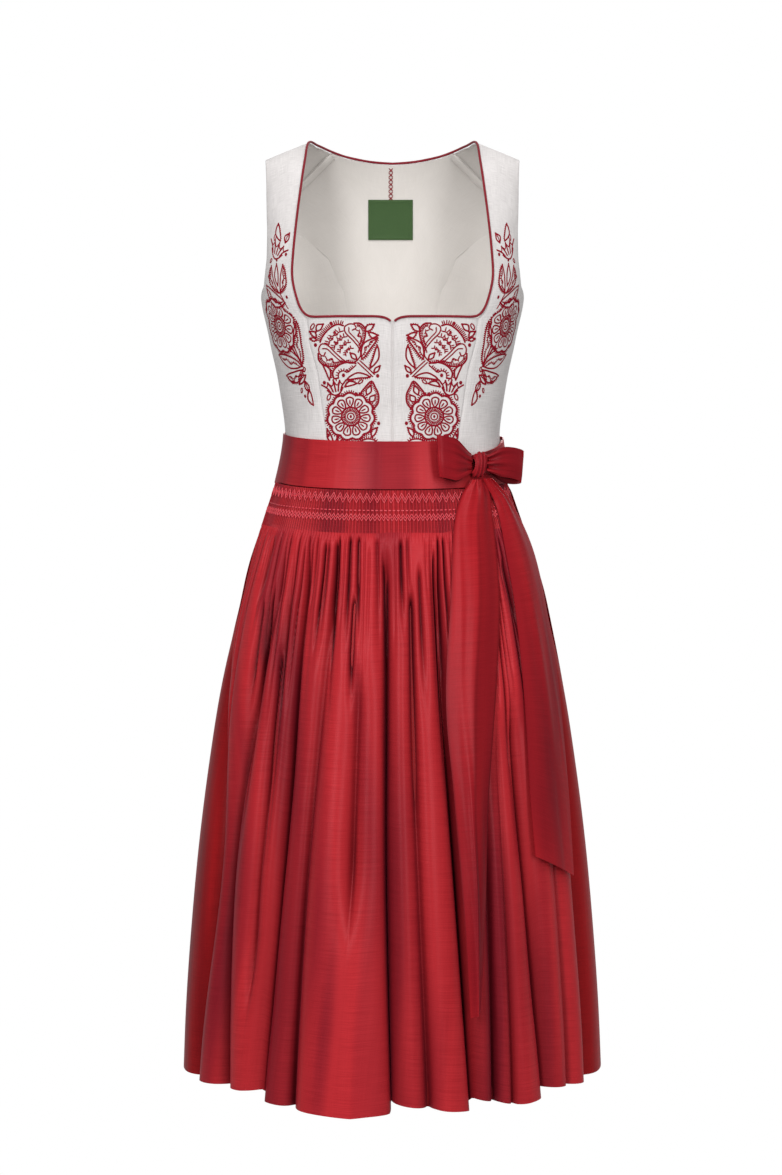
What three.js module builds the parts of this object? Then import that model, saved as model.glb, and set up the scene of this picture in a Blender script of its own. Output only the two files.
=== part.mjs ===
// A dirndl as it is worn: a sleeveless linen bodice with a square neck, a gathered taffeta skirt,
// and a smocked taffeta apron whose ties go round the back and end in a bow at the wearer's left.
// Millimetres, +Z up, the front towards -Y. The origin is at the height of the shoulder straps,
// midway between them. "Drop" is how far a point lies below that height.
import * as THREE from 'three';

// ---------- driving sizes ----------
const SEAM_GAP = 0.3;
const LINEN = 1.5;
const LINING = 1.0;
const SKIRT_CLOTH = 1.2;
const APRON_CLOTH = 1.0;
const BAND_CLOTH = 1.8;
const RIBBON_CLOTH = 1.2;
const LABEL_CLOTH = 0.8;
const PIPING_RADIUS = 1.5;
const BAND_TOP = 336;
const BAND_BOTTOM = 389;
const SKIRT_TOP = 386.3;
const UNDERARM = 180;
const SHOULDER_RIDGE = { y: 5, neckX: 97, neckDrop: 1, slope: 0.42 };
const FULL_DEPTH_DROP = 160;
const SMOCK_PLEATS = 74;
const SMOCK_HEIGHT = 2.2;
const SMOCK_END = 446;
const GATHERS = 37;
const GATHER_HEIGHT = 2.8;
const GATHER_END = 640;
const BACK_GATHERS = 40;
const BACK_GATHER_END = 560;

// Half width, depth in front of and behind the side seams, and squareness of the oval, by drop.
const BODY = [
  { drop: 0, half: 150, front: 104, back: 98, square: 2.3 },
  { drop: 120, half: 150, front: 112, back: 104, square: 2.3 },
  { drop: 180, half: 149.5, front: 119, back: 105, square: 2.3 },
  { drop: 225, half: 140, front: 115, back: 100, square: 2.3 },
  { drop: 270, half: 131, front: 106, back: 94, square: 2.3 },
  { drop: 316, half: 124, front: 98, back: 89, square: 2.3 },
  { drop: 345, half: 123, front: 96, back: 88, square: 2.3 },
  { drop: 386, half: 131, front: 101, back: 92, square: 2.3 },
  { drop: 431, half: 146, front: 114, back: 106, square: 2.2 },
  { drop: 477, half: 162, front: 128, back: 120, square: 2.1 },
  { drop: 523, half: 176, front: 141, back: 133, square: 2.05 },
  { drop: 616, half: 197, front: 163, back: 155, square: 2 },
  { drop: 709, half: 212, front: 180, back: 172, square: 2 },
  { drop: 802, half: 224, front: 194, back: 186, square: 2 },
  { drop: 896, half: 233, front: 204, back: 197, square: 2 },
  { drop: 991, half: 240, front: 211, back: 204, square: 2 },
  { drop: 1080, half: 244, front: 215, back: 208, square: 2 },
];

// Drop of the hem, by angle round the body from the middle of the front.
const HEM = [
  { angle: -180, drop: 1066 },
  { angle: -140, drop: 1071 },
  { angle: -110, drop: 1064 },
  { angle: -75, drop: 1066 },
  { angle: -45, drop: 1060 },
  { angle: -39, drop: 1057 },
  { angle: -36, drop: 1070 },
  { angle: -11, drop: 1077 },
  { angle: -4, drop: 1074 },
  { angle: -1, drop: 1061 },
  { angle: 12, drop: 1069 },
  { angle: 20, drop: 1076 },
  { angle: 23, drop: 1061 },
  { angle: 37, drop: 1073 },
  { angle: 44, drop: 1071 },
  { angle: 47, drop: 1060 },
  { angle: 66, drop: 1066 },
  { angle: 100, drop: 1062 },
  { angle: 140, drop: 1070 },
  { angle: 180, drop: 1066 },
];

// Large folds: the angle of each valley near the top, half way down and at the hem, the drops
// between which it runs, its depth at the hem, its half width, and how far a flank leans over it.
const FOLD_DROPS = { top: 520, mid: 780, hem: 1070 };
const FOLDS = [
  { top: -168, mid: -166, hem: -167, from: 450, to: 1200, depth: 34, width: 13, lean: 0 },
  { top: -152, mid: -150, hem: -154, from: 430, to: 1200, depth: 30, width: 12, lean: 9 },
  { top: -138, mid: -140, hem: -139, from: 520, to: 1200, depth: 24, width: 10, lean: 0 },
  { top: -125, mid: -127, hem: -125, from: 440, to: 1200, depth: 32, width: 12, lean: -9 },
  { top: -111, mid: -112, hem: -112, from: 560, to: 1200, depth: 26, width: 11, lean: 0 },
  { top: -97, mid: -97, hem: -98, from: 470, to: 1200, depth: 20, width: 10, lean: 0 },
  { top: -83, mid: -66, hem: -72, from: 470, to: 1200, depth: 26, width: 12, lean: 0 },
  { top: -48, mid: -56, hem: -54, from: 440, to: 1200, depth: 24, width: 11, lean: 0 },
  { top: -42, mid: -43, hem: -44, from: 440, to: 1010, depth: 16, width: 8, lean: 0 },
  { top: -34, mid: -34, hem: -37, from: 440, to: 1200, depth: 36, width: 13, lean: 14 },
  { top: -22, mid: -26, hem: -29, from: 430, to: 1200, depth: 20, width: 9, lean: 0 },
  { top: -11, mid: -12, hem: -13, from: 560, to: 900, depth: 26, width: 9, lean: 0 },
  { top: -2.5, mid: -3, hem: -2, from: 430, to: 1200, depth: 34, width: 12, lean: -14 },
  { top: 6.5, mid: 7.5, hem: 10, from: 470, to: 1200, depth: 18, width: 9, lean: 0 },
  { top: 16, mid: 18, hem: 21, from: 440, to: 1200, depth: 34, width: 13, lean: -14 },
  { top: 27, mid: 29, hem: 30, from: 580, to: 1200, depth: 20, width: 9, lean: 0 },
  { top: 36, mid: 35, hem: 36, from: 620, to: 1200, depth: 16, width: 8, lean: 0 },
  { top: 43, mid: 42, hem: 46, from: 600, to: 1200, depth: 34, width: 12, lean: -13 },
  { top: 58, mid: 56, hem: 58, from: 640, to: 1200, depth: 12, width: 10, lean: 0 },
  { top: 78, mid: 70, hem: 71, from: 500, to: 1200, depth: 26, width: 12, lean: 0 },
  { top: 96, mid: 95, hem: 97, from: 470, to: 1200, depth: 20, width: 10, lean: 0 },
  { top: 110, mid: 111, hem: 110, from: 540, to: 1200, depth: 28, width: 12, lean: 0 },
  { top: 123, mid: 124, hem: 126, from: 440, to: 1200, depth: 32, width: 12, lean: 9 },
  { top: 137, mid: 138, hem: 137, from: 560, to: 1200, depth: 22, width: 10, lean: 0 },
  { top: 151, mid: 150, hem: 153, from: 430, to: 1200, depth: 32, width: 13, lean: -9 },
  { top: 165, mid: 166, hem: 167, from: 520, to: 1200, depth: 26, width: 11, lean: 0 },
  { top: 178.5, mid: 179, hem: 179.5, from: 450, to: 1200, depth: 20, width: 9, lean: 0 },
];
const APRON_LEFT_FOLD = 6;
const APRON_RIGHT_FOLD = 19;

// ---------- numbers read from the tables ----------
const radians = THREE.MathUtils.degToRad;
const clamp = THREE.MathUtils.clamp;
const signedPower = (value, power) => Math.sign(value) * Math.abs(value) ** power;

// A smooth curve through one column of a table.
function readTable(table, key, column, at) {
  const last = table.length - 1;
  const place = clamp(at, table[0][key], table[last][key]);
  let i = 0;
  while (i < last - 1 && place > table[i + 1][key]) i += 1;
  const slope = (k) => {
    const before = table[Math.max(0, k - 1)];
    const after = table[Math.min(last, k + 1)];
    return (after[column] - before[column]) / (after[key] - before[key]);
  };
  const step = table[i + 1][key] - table[i][key];
  const t = (place - table[i][key]) / step;
  const hermite = (2 * t ** 3 - 3 * t ** 2 + 1) * table[i][column]
    + (t ** 3 - 2 * t ** 2 + t) * step * slope(i)
    + (3 * t ** 2 - 2 * t ** 3) * table[i + 1][column]
    + (t ** 3 - t ** 2) * step * slope(i + 1);
  return hermite;
}

function readLine(table, key, column, at) {
  let i = 0;
  while (i < table.length - 2 && at > table[i + 1][key]) i += 1;
  const t = clamp((at - table[i][key]) / (table[i + 1][key] - table[i][key]), 0, 1);
  return THREE.MathUtils.lerp(table[i][column], table[i + 1][column], t);
}

// ---------- the bodice surface ----------
// A place on it is "turn", 0 at the middle and 90 at the side seam, and "reach", which is 0 on the
// shoulder ridge, +1 where the front has its full depth and -1 where the back has.
const ridgeDrop = (x) => SHOULDER_RIDGE.neckDrop + SHOULDER_RIDGE.slope * (Math.abs(x) - SHOULDER_RIDGE.neckX);
const SHOULDER_CURVE = { front: { rise: 1.5, round: 1.4 }, back: { rise: 3, round: 1.8 } };

function bodicePoint(turn, reach) {
  const side = reach >= 0 ? 'front' : 'back';
  const sign = reach >= 0 ? -1 : 1;
  const size = Math.abs(reach);
  const below = FULL_DEPTH_DROP * size;
  const half = readTable(BODY, 'drop', 'half', below);
  const power = 2 / readTable(BODY, 'drop', 'square', below);
  const x = half * signedPower(Math.sin(radians(turn)), power);
  const start = ridgeDrop(x);
  const drop = size < 1 ? start + (FULL_DEPTH_DROP - start) * size ** 2 : below;
  const depth = readTable(BODY, 'drop', side, drop);
  const y = sign * depth * Math.abs(Math.cos(radians(turn))) ** power;
  const { rise, round } = SHOULDER_CURVE[side];
  const part = size < 1 ? (1 - (1 - size ** 2) ** rise) ** (1 / round) : 1;
  return new THREE.Vector3(x, SHOULDER_RIDGE.y * (1 - part) + y * part, -drop);
}

// The same place from a distance from the middle and a drop, on the front or the back.
function bodicePlace({ x, drop, behind = false, seam = false }) {
  const half = readTable(BODY, 'drop', 'half', drop);
  const square = readTable(BODY, 'drop', 'square', drop);
  const start = ridgeDrop(x);
  const size = drop < FULL_DEPTH_DROP
    ? Math.sqrt(clamp((drop - start) / (FULL_DEPTH_DROP - start), 0, 1))
    : drop / FULL_DEPTH_DROP;
  const sine = clamp((Math.abs(x) / half) ** (square / 2), 0, 1);
  const turn = seam ? 90 : THREE.MathUtils.radToDeg(Math.asin(sine)) * Math.sign(x || 1);
  return { turn, reach: behind ? -size : size };
}

// Seams and edges of the wearer's left half, named by what they are.
const FRONT_PRINCESS = [
  { x: 72, drop: 386 }, { x: 75, drop: 329 }, { x: 80, drop: 295 }, { x: 85, drop: 257 },
  { x: 93, drop: 228 }, { x: 96, drop: 199 },
];
const NECK_FRONT = [
  { x: 96, drop: 199 }, { x: 101, drop: 194 }, { x: 104.5, drop: 187 }, { x: 108, drop: 174 },
  { x: 113, drop: 152 }, { x: 110, drop: 110 }, { x: 104, drop: 56 }, { x: 99, drop: 18 },
  { x: 97, drop: 1 },
];
const NECK_SHOULDER_BACK = [
  { x: 97, drop: 1, behind: true }, { x: 88, drop: 4, behind: true }, { x: 73, drop: 10, behind: true },
];
const NECK_BACK = [
  { x: 73, drop: 10, behind: true }, { x: 56, drop: 16, behind: true }, { x: 30, drop: 21, behind: true },
  { x: 0, drop: 23, behind: true },
];
const NECK_BOTTOM = [
  { x: 0, drop: 206 }, { x: 4, drop: 200.5 }, { x: 12, drop: 198 }, { x: 60, drop: 198 }, { x: 96, drop: 199 },
];
const CENTRE_FRONT = [{ x: 0, drop: 386 }, { x: 0, drop: 300 }, { x: 0, drop: 206 }];
const CENTRE_BACK = [{ x: 0, drop: 386, behind: true }, { x: 0, drop: 200, behind: true }, { x: 0, drop: 23, behind: true }];
const WAIST_CENTRE = [{ x: 0, drop: 386 }, { x: 72, drop: 386 }];
const WAIST_SIDE = [{ x: 72, drop: 386 }, { x: 110, drop: 386 }, { x: 131, drop: 386, seam: true }];
const SIDE_SEAM = [
  { x: 131, drop: 386, seam: true }, { x: 124, drop: 300, seam: true }, { x: 149.5, drop: UNDERARM, seam: true },
];
const ARMHOLE_FRONT = [
  { x: 149.5, drop: UNDERARM, seam: true }, { x: 146, drop: 165 }, { x: 142.5, drop: 135 },
  { x: 142, drop: 100 }, { x: 143.5, drop: 60 }, { x: 145, drop: 21.2 },
];
const ARMHOLE_SHOULDER_BACK = [
  { x: 145, drop: 21.2, behind: true }, { x: 144, drop: 45, behind: true }, { x: 142.5, drop: 70, behind: true },
];
const SHOULDER_SEAM = [
  { x: 73, drop: 10, behind: true }, { x: 103, drop: 40, behind: true }, { x: 142.5, drop: 70, behind: true },
];
const BACK_PRINCESS = [
  { x: 44, drop: 386, behind: true }, { x: 46, drop: 300, behind: true }, { x: 50, drop: 200, behind: true },
  { x: 57, drop: 167, behind: true }, { x: 74, drop: 132, behind: true }, { x: 106, drop: 105, behind: true },
  { x: 127, drop: 97, behind: true },
];
const BACK_PRINCESS_END = [{ x: 127, drop: 97, behind: true }, { x: 141, drop: 92, behind: true }];
const ARMHOLE_BACK_TOP = [{ x: 141, drop: 92, behind: true }, { x: 142.5, drop: 70, behind: true }];
const ARMHOLE_BACK_LOWER = [
  { x: 149.5, drop: UNDERARM, seam: true, behind: true }, { x: 146, drop: 165, behind: true },
  { x: 142, drop: 130, behind: true }, { x: 141, drop: 92, behind: true },
];
const SIDE_SEAM_BEHIND = SIDE_SEAM.map((row) => ({ ...row, behind: true }));
const WAIST_BACK_CENTRE = [{ x: 0, drop: 386, behind: true }, { x: 44, drop: 386, behind: true }];
const WAIST_BACK_SIDE = [
  { x: 44, drop: 386, behind: true }, { x: 95, drop: 386, behind: true }, { x: 131, drop: 386, behind: true, seam: true },
];

// Evenly spaced places along a seam, by its real length.
function walkSeam(rows, count) {
  const places = rows.map(bodicePlace);
  const fine = [];
  const PER_ROW = 12;
  for (let i = 0; i < places.length - 1; i += 1) {
    for (let k = 0; k < PER_ROW; k += 1) {
      const t = k / PER_ROW;
      fine.push({
        turn: THREE.MathUtils.lerp(places[i].turn, places[i + 1].turn, t),
        reach: THREE.MathUtils.lerp(places[i].reach, places[i + 1].reach, t),
      });
    }
  }
  fine.push(places[places.length - 1]);
  const points = fine.map((place) => bodicePoint(place.turn, place.reach));
  const lengths = [0];
  for (let i = 1; i < points.length; i += 1) lengths.push(lengths[i - 1] + points[i].distanceTo(points[i - 1]));
  const table = fine.map((place, i) => ({ ...place, length: lengths[i] }));
  const whole = lengths[lengths.length - 1];
  return Array.from({ length: count + 1 }, (_, i) => ({
    turn: readLine(table, 'length', 'turn', (whole * i) / count),
    reach: readLine(table, 'length', 'reach', (whole * i) / count),
  }));
}

// An edge of a panel is one or more seams in turn, each with its own number of steps.
const walkEdge = (parts) => parts.flatMap(([seam, steps], i) => walkSeam(seam, steps).slice(i ? 1 : 0));

// A panel's points from its four edges: bottom and top run from the middle outwards, inner and
// outer run upwards.
function panelGrid({ bottom, top, inner, outer }) {
  const [b, t, l, r] = [bottom, top, inner, outer].map(walkEdge);
  const columns = b.length - 1;
  const rows = l.length - 1;
  const blend = (key, i, j) => {
    const u = i / columns;
    const v = j / rows;
    return (1 - u) * l[j][key] + u * r[j][key] + (1 - v) * b[i][key] + v * t[i][key]
      - (1 - u) * (1 - v) * b[0][key] - u * (1 - v) * b[columns][key]
      - (1 - u) * v * t[0][key] - u * v * t[columns][key];
  };
  return Array.from({ length: rows + 1 }, (_, j) => Array.from(
    { length: columns + 1 },
    (__, i) => bodicePoint(blend('turn', i, j), blend('reach', i, j)),
  ));
}

// Draws a panel's edge points in by half a seam's gap, and a little for the flat faces between them.
const FACE_EASE = 0.15;
const LINING_EASE = 0.45;
const LINING_SLACK = 0.15;

function easeEdges(grid, ease = FACE_EASE) {
  const half = SEAM_GAP / 2 + ease;
  const pull = (edge, inside, before, after) => {
    const tangent = after.clone().sub(before).normalize();
    const way = inside.clone().sub(edge);
    way.addScaledVector(tangent, -way.dot(tangent));
    return way.setLength(half);
  };
  const last = grid.length - 1;
  const wide = grid[0].length - 1;
  const near = (k, end) => [Math.max(0, k - 1), Math.min(end, k + 1)];
  return grid.map((row, j) => row.map((point, i) => {
    const [below, above] = near(j, last);
    const [left, right] = near(i, wide);
    const eased = point.clone();
    if (i === 0) eased.add(pull(point, row[1], grid[below][0], grid[above][0]));
    if (i === wide) eased.add(pull(point, row[wide - 1], grid[below][wide], grid[above][wide]));
    if (j === 0) eased.add(pull(point, grid[1][i], row[left], row[right]));
    if (j === last) eased.add(pull(point, grid[last - 1][i], row[left], row[right]));
    return eased;
  }));
}

// ---------- walls ----------
// The way out of the cloth at each point of a grid, long enough that faces moved by it keep
// their distance, but never longer than LONGEST times that distance.
const LONGEST = 1.7;

function outwards(grid, closed = false) {
  const normals = grid.map((row) => row.map(() => ({ sum: new THREE.Vector3(), weight: 0 })));
  const corner = (j, i, a, b) => {
    const p = grid[j][i];
    const u = a.clone().sub(p);
    const v = b.clone().sub(p);
    const angle = u.angleTo(v);
    const normal = u.cross(v);
    if (normal.lengthSq() > 0 && Number.isFinite(angle)) {
      normals[j][i].sum.addScaledVector(normal.normalize(), angle);
      normals[j][i].weight += angle;
    }
  };
  for (let j = 0; j < grid.length - 1; j += 1) {
    for (let i = 0; i < grid[0].length - 1; i += 1) {
      corner(j, i, grid[j][i + 1], grid[j + 1][i]);
      corner(j, i + 1, grid[j + 1][i + 1], grid[j][i]);
      corner(j + 1, i, grid[j][i], grid[j + 1][i + 1]);
      corner(j + 1, i + 1, grid[j + 1][i], grid[j][i + 1]);
    }
  }
  const wide = grid[0].length - 1;
  if (closed) {
    normals.forEach((row) => {
      row[0].sum.add(row[wide].sum);
      row[0].weight += row[wide].weight;
      row[wide] = { sum: row[0].sum.clone(), weight: row[0].weight };
    });
  }
  const middle = Math.floor(grid.length / 2);
  const across = Math.floor(wide / 2);
  const flip = normals[middle][across].sum.dot(grid[middle][across].clone().setZ(0)) < 0 ? -1 : 1;
  return normals.map((row, j) => row.map(({ sum, weight }, i) => {
    const mean = sum.multiplyScalar(flip / weight);
    if (Math.abs(grid[j][i].x) < SEAM_GAP * 2) mean.setX(0);
    return mean.multiplyScalar(Math.min(1 / mean.lengthSq(), LONGEST / mean.length()));
  }));
}

const moved = (grid, ways, distance) => grid.map((row, j) => row.map(
  (point, i) => point.clone().addScaledVector(ways[j][i], distance),
));

// Triangles between two rows of points that may differ in number.
function zip(first, second, faces) {
  let i = 0;
  let k = 0;
  const a = first.length - 1;
  const b = second.length - 1;
  while (i < a || k < b) {
    const nextFirst = i < a ? first[i + 1].along : Infinity;
    const nextSecond = k < b ? second[k + 1].along : Infinity;
    if (nextFirst <= nextSecond) {
      faces.push([first[i].id, first[i + 1].id, second[k].id]);
      i += 1;
    } else {
      faces.push([first[i].id, second[k + 1].id, second[k].id]);
      k += 1;
    }
  }
}

// One closed wall from an outer and an inner sheet, each a list of rows of points.
function wall(outer, inner) {
  const positions = [];
  const faces = [];
  const number = (rows) => rows.map((row) => row.map((point, i) => {
    positions.push(point.x, point.y, point.z);
    return { id: positions.length / 3 - 1, along: point.along ?? i / (row.length - 1) };
  }));
  const out = number(outer);
  const back = number(inner);
  for (let j = 0; j < out.length - 1; j += 1) zip(out[j], out[j + 1], faces);
  const inside = [];
  for (let j = 0; j < back.length - 1; j += 1) zip(back[j], back[j + 1], inside);
  inside.forEach(([p, q, r]) => faces.push([p, r, q]));
  const edge = (rows, pick) => rows.map((row, j) => ({ id: pick(row).id, along: j / (rows.length - 1) }));
  const firstOf = (row) => row[0];
  const lastOf = (row) => row[row.length - 1];
  const rims = [];
  zip(back[0], out[0], rims);
  rims.forEach((face) => faces.push(face));
  const ends = [];
  zip(back[back.length - 1], out[out.length - 1], ends);
  ends.forEach(([p, q, r]) => faces.push([p, r, q]));
  const left = [];
  zip(edge(back, firstOf), edge(out, firstOf), left);
  left.forEach(([p, q, r]) => faces.push([p, r, q]));
  zip(edge(back, lastOf), edge(out, lastOf), faces);
  return closedGeometry(positions, faces);
}

function closedGeometry(positions, faces) {
  let volume = 0;
  const p = (k) => new THREE.Vector3(positions[3 * k], positions[3 * k + 1], positions[3 * k + 2]);
  faces.forEach(([a, b, c]) => { volume += p(a).dot(p(b).cross(p(c))); });
  const index = faces.flatMap(([a, b, c]) => (volume < 0 ? [a, c, b] : [a, b, c]));
  const geometry = new THREE.BufferGeometry();
  geometry.setAttribute('position', new THREE.Float32BufferAttribute(positions, 3));
  geometry.setIndex(index);
  return geometry;
}

const model = new THREE.Group();

function addPiece(name, geometry, material) {
  const mesh = new THREE.Mesh(geometry, material);
  mesh.name = name;
  model.add(mesh);
}

function finish(colour, roughness) {
  return () => new THREE.MeshStandardMaterial({ color: colour, roughness, metalness: 0 });
}

const linen = finish('#d3cfcd', 0.9);
const cream = finish('#e5dfdb', 0.85);
const taffeta = finish('#9c323a', 0.45);
const shadeTaffeta = finish('#8a2a33', 0.45);
const crimson = finish('#8c1c2a', 0.6);
const green = finish('#44582f', 0.8);

// ---------- bodice: linen panels and the lining behind the back ones ----------
const FRONT_SEAM_STEPS = 10;
const SIDE_SEAM_STEPS = 11;
const BACK_SEAM_STEPS = 16;
const SHOULDER_SEAM_STEPS = 5;
const PANELS = [
  {
    name: 'bodice_front_centre',
    bottom: [[WAIST_CENTRE, 4]],
    top: [[NECK_BOTTOM, 4]],
    inner: [[CENTRE_FRONT, FRONT_SEAM_STEPS]],
    outer: [[FRONT_PRINCESS, FRONT_SEAM_STEPS]],
  },
  {
    name: 'bodice_front_side',
    bottom: [[WAIST_SIDE, SHOULDER_SEAM_STEPS]],
    top: [[SHOULDER_SEAM, SHOULDER_SEAM_STEPS]],
    inner: [[FRONT_PRINCESS, FRONT_SEAM_STEPS], [NECK_FRONT, 12], [NECK_SHOULDER_BACK, 4]],
    outer: [[SIDE_SEAM, SIDE_SEAM_STEPS], [ARMHOLE_FRONT, 10], [ARMHOLE_SHOULDER_BACK, 5]],
  },
  {
    name: 'bodice_back_side',
    lined: true,
    bottom: [[WAIST_BACK_SIDE, 4]],
    top: [[BACK_PRINCESS_END, 4]],
    inner: [[BACK_PRINCESS, BACK_SEAM_STEPS]],
    outer: [[SIDE_SEAM_BEHIND, SIDE_SEAM_STEPS], [ARMHOLE_BACK_LOWER, BACK_SEAM_STEPS - SIDE_SEAM_STEPS]],
  },
  {
    name: 'bodice_back_centre',
    lined: true,
    bottom: [[WAIST_BACK_CENTRE, 3 + SHOULDER_SEAM_STEPS]],
    top: [[[...NECK_BACK].reverse(), 3], [SHOULDER_SEAM, SHOULDER_SEAM_STEPS]],
    inner: [[CENTRE_BACK, BACK_SEAM_STEPS + 2]],
    outer: [[BACK_PRINCESS, BACK_SEAM_STEPS], [BACK_PRINCESS_END, 1], [ARMHOLE_BACK_TOP, 1]],
  },
];

const mirrored = (grid, side) => grid.map((row) => row.map((point) => new THREE.Vector3(point.x * side, point.y, point.z)));
const HANDS = [{ hand: 'left', side: 1 }, { hand: 'right', side: -1 }];

const grids = {};

for (const panel of PANELS) {
  const half = easeEdges(panelGrid(panel));
  grids[panel.name] = half;
  for (const { hand, side } of HANDS) {
    const grid = mirrored(half, side);
    const ways = outwards(grid);
    addPiece(`${panel.name}_${hand}`, wall(grid, moved(grid, ways, -LINEN)), linen());
    if (panel.lined) {
      const near = LINEN + SEAM_GAP + LINING_SLACK;
      const cut = easeEdges(moved(grid, ways, -near), LINING_EASE);
      const lining = wall(cut, moved(cut, ways, -LINING));
      addPiece(`${panel.name.replace('bodice', 'lining')}_${hand}`, lining, cream());
    }
  }
}

// ---------- piping round the neck ----------
const PIPING_STEPS = 66;
const PIPING_QUARTERS = 3;
const PIPING_EASE = 0.4;
const NOTCH_CLEAR = 2.2;

// The edge points of the neck, each with its neighbour further into the cloth.
function neckEdge() {
  const centre = grids.bodice_front_centre;
  const side = grids.bodice_front_side;
  const back = grids.bodice_back_centre;
  const top = (grid, i) => ({ point: grid[grid.length - 1][i], inside: grid[grid.length - 2][i] });
  return [
    ...centre[0].map((_, i) => top(centre, i)).slice(0, -1),
    ...side.slice(FRONT_SEAM_STEPS).map((row) => ({ point: row[0], inside: row[1] })).slice(0, -1),
    ...[3, 2, 1, 0].map((i) => top(back, i)),
  ];
}

function pipingLine() {
  const edge = neckEdge();
  const seat = PIPING_RADIUS + SEAM_GAP + PIPING_EASE;
  const line = edge.map(({ point, inside }, i) => {
    const ahead = edge[Math.min(edge.length - 1, i + 1)].point;
    const behind = edge[Math.max(0, i - 1)].point;
    const tangent = ahead.clone().sub(behind).normalize();
    const away = point.clone().sub(inside);
    away.addScaledVector(tangent, -away.dot(tangent)).setLength(seat);
    const face = tangent.clone().cross(away).setLength(LINEN / 2);
    return point.clone().add(away).add(face);
  });
  line[0].setX(NOTCH_CLEAR);
  line[line.length - 1].setX(0);
  const other = line.slice(0, -1).map((point) => new THREE.Vector3(-point.x, point.y, point.z));
  return [...line, ...other.reverse()];
}

const pipingRound = new THREE.Shape().absarc(0, 0, PIPING_RADIUS, 0, Math.PI * 2);
addPiece('neck_piping', new THREE.ExtrudeGeometry(pipingRound, {
  steps: PIPING_STEPS, curveSegments: PIPING_QUARTERS, bevelEnabled: false,
  extrudePath: new THREE.CatmullRomCurve3(pipingLine()),
}), crimson());

// ---------- bare label inside the back of the neck ----------
const LABEL = { left: -28.6, right: 24.1, top: 62, bottom: 109, columns: 4, rows: 4 };
const labelGrid = Array.from({ length: LABEL.rows + 1 }, (_, j) => Array.from({ length: LABEL.columns + 1 }, (__, i) => {
  const x = THREE.MathUtils.lerp(LABEL.left, LABEL.right, i / LABEL.columns);
  const drop = THREE.MathUtils.lerp(LABEL.bottom, LABEL.top, j / LABEL.rows);
  const place = bodicePlace({ x, drop, behind: true });
  return bodicePoint(place.turn, place.reach);
}));
const labelWays = outwards(labelGrid);
const labelSeat = LINEN + LINING + 3 * SEAM_GAP;
addPiece(
  'neck_label',
  wall(moved(labelGrid, labelWays, -labelSeat), moved(labelGrid, labelWays, -labelSeat - LABEL_CLOTH)),
  green(),
);

// ---------- the skirt surface ----------
const wrap = (angle) => ((((angle + 180) % 360) + 360) % 360) - 180;

function foldAngle(fold, drop) {
  const { top, mid, hem } = FOLD_DROPS;
  const path = [
    { drop: top, angle: fold.top }, { drop: mid, angle: fold.mid }, { drop: hem, angle: fold.hem },
  ];
  return readTable(path, 'drop', 'angle', drop);
}

// Each fold as it is at one drop: its angle, half width, depth and lean there. A fold comes in and
// fades out over a few drops, starts at a part of its depth, and is never steeper than the cloth
// can hang; neighbours share the space between them.
const FOLD_FADE_IN = 70;
const FOLD_FADE_OUT = 120;
const FIRST_DEPTH = 0.3;
const STEEPEST = 2.4;
const SHARE_OF_SPACE = 0.34;

function foldsAt(drop) {
  const angles = FOLDS.map((fold) => foldAngle(fold, drop));
  const radius = readTable(BODY, 'drop', 'half', drop);
  return FOLDS.map((fold, i) => {
    const before = wrap(angles[i] - angles[(i + FOLDS.length - 1) % FOLDS.length]);
    const after = wrap(angles[(i + 1) % FOLDS.length] - angles[i]);
    const room = Math.min(before, after) * SHARE_OF_SPACE;
    const width = Math.min(THREE.MathUtils.radToDeg(fold.width / radius), room);
    const grown = clamp((drop - fold.from) / (FOLD_DROPS.hem - fold.from), 0, 1);
    const starts = THREE.MathUtils.smoothstep(drop, fold.from, fold.from + FOLD_FADE_IN);
    const ends = 1 - THREE.MathUtils.smoothstep(drop, fold.to - FOLD_FADE_OUT, fold.to);
    const wide = radians(width) * radius;
    const full = fold.depth * (FIRST_DEPTH + (1 - FIRST_DEPTH) * grown);
    const depth = Math.min(full, STEEPEST * wide) * starts * ends;
    return { angle: angles[i], width, depth, lean: fold.lean * grown * starts * ends };
  });
}

const hemDrop = (angle) => readLine(HEM, 'angle', 'drop', wrap(angle));

// A point of the skirt's outer face; "down" is 0 at the waist and 1 at the hem.
const skirtDrop = (angle, down) => SKIRT_TOP + (hemDrop(angle) - SKIRT_TOP) * down;

// In half widths of a fold: how round its valley is, how far it is felt, and where the flank that
// leans over it lies and how wide that is.
const VALLEY_ROUND = 0.35;
const FOLD_REACH = 7;
const FLANK_PLACE = 0.8;
const FLANK_WIDTH = 0.9;

function ovalPoint(angle, drop, depth) {
  const power = 2 / readTable(BODY, 'drop', 'square', drop);
  const half = readTable(BODY, 'drop', 'half', drop);
  const sine = Math.sin(radians(angle));
  const cosine = Math.cos(radians(angle));
  const way = readTable(BODY, 'drop', cosine >= 0 ? 'front' : 'back', drop);
  const normal = new THREE.Vector3(sine / half, -cosine / way, 0).normalize();
  const point = new THREE.Vector3(half * signedPower(sine, power), -way * signedPower(cosine, power), -drop);
  return point.addScaledVector(normal, -depth);
}

function skirtPoint(angle, down, folds) {
  const drop = skirtDrop(angle, down);
  const radius = readTable(BODY, 'drop', 'half', drop);
  let depth = 0;
  let shift = 0;
  folds.forEach((fold) => {
    const across = wrap(angle - fold.angle) / fold.width;
    if (Math.abs(across) > FOLD_REACH) return;
    depth += fold.depth * Math.exp(VALLEY_ROUND - Math.hypot(across, VALLEY_ROUND));
    const flank = (across - FLANK_PLACE * Math.sign(fold.lean)) / FLANK_WIDTH;
    shift -= fold.lean * Math.exp(-flank * flank);
  });
  const turned = angle + THREE.MathUtils.radToDeg(shift / radius);
  return ovalPoint(turned, drop, depth);
}

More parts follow.
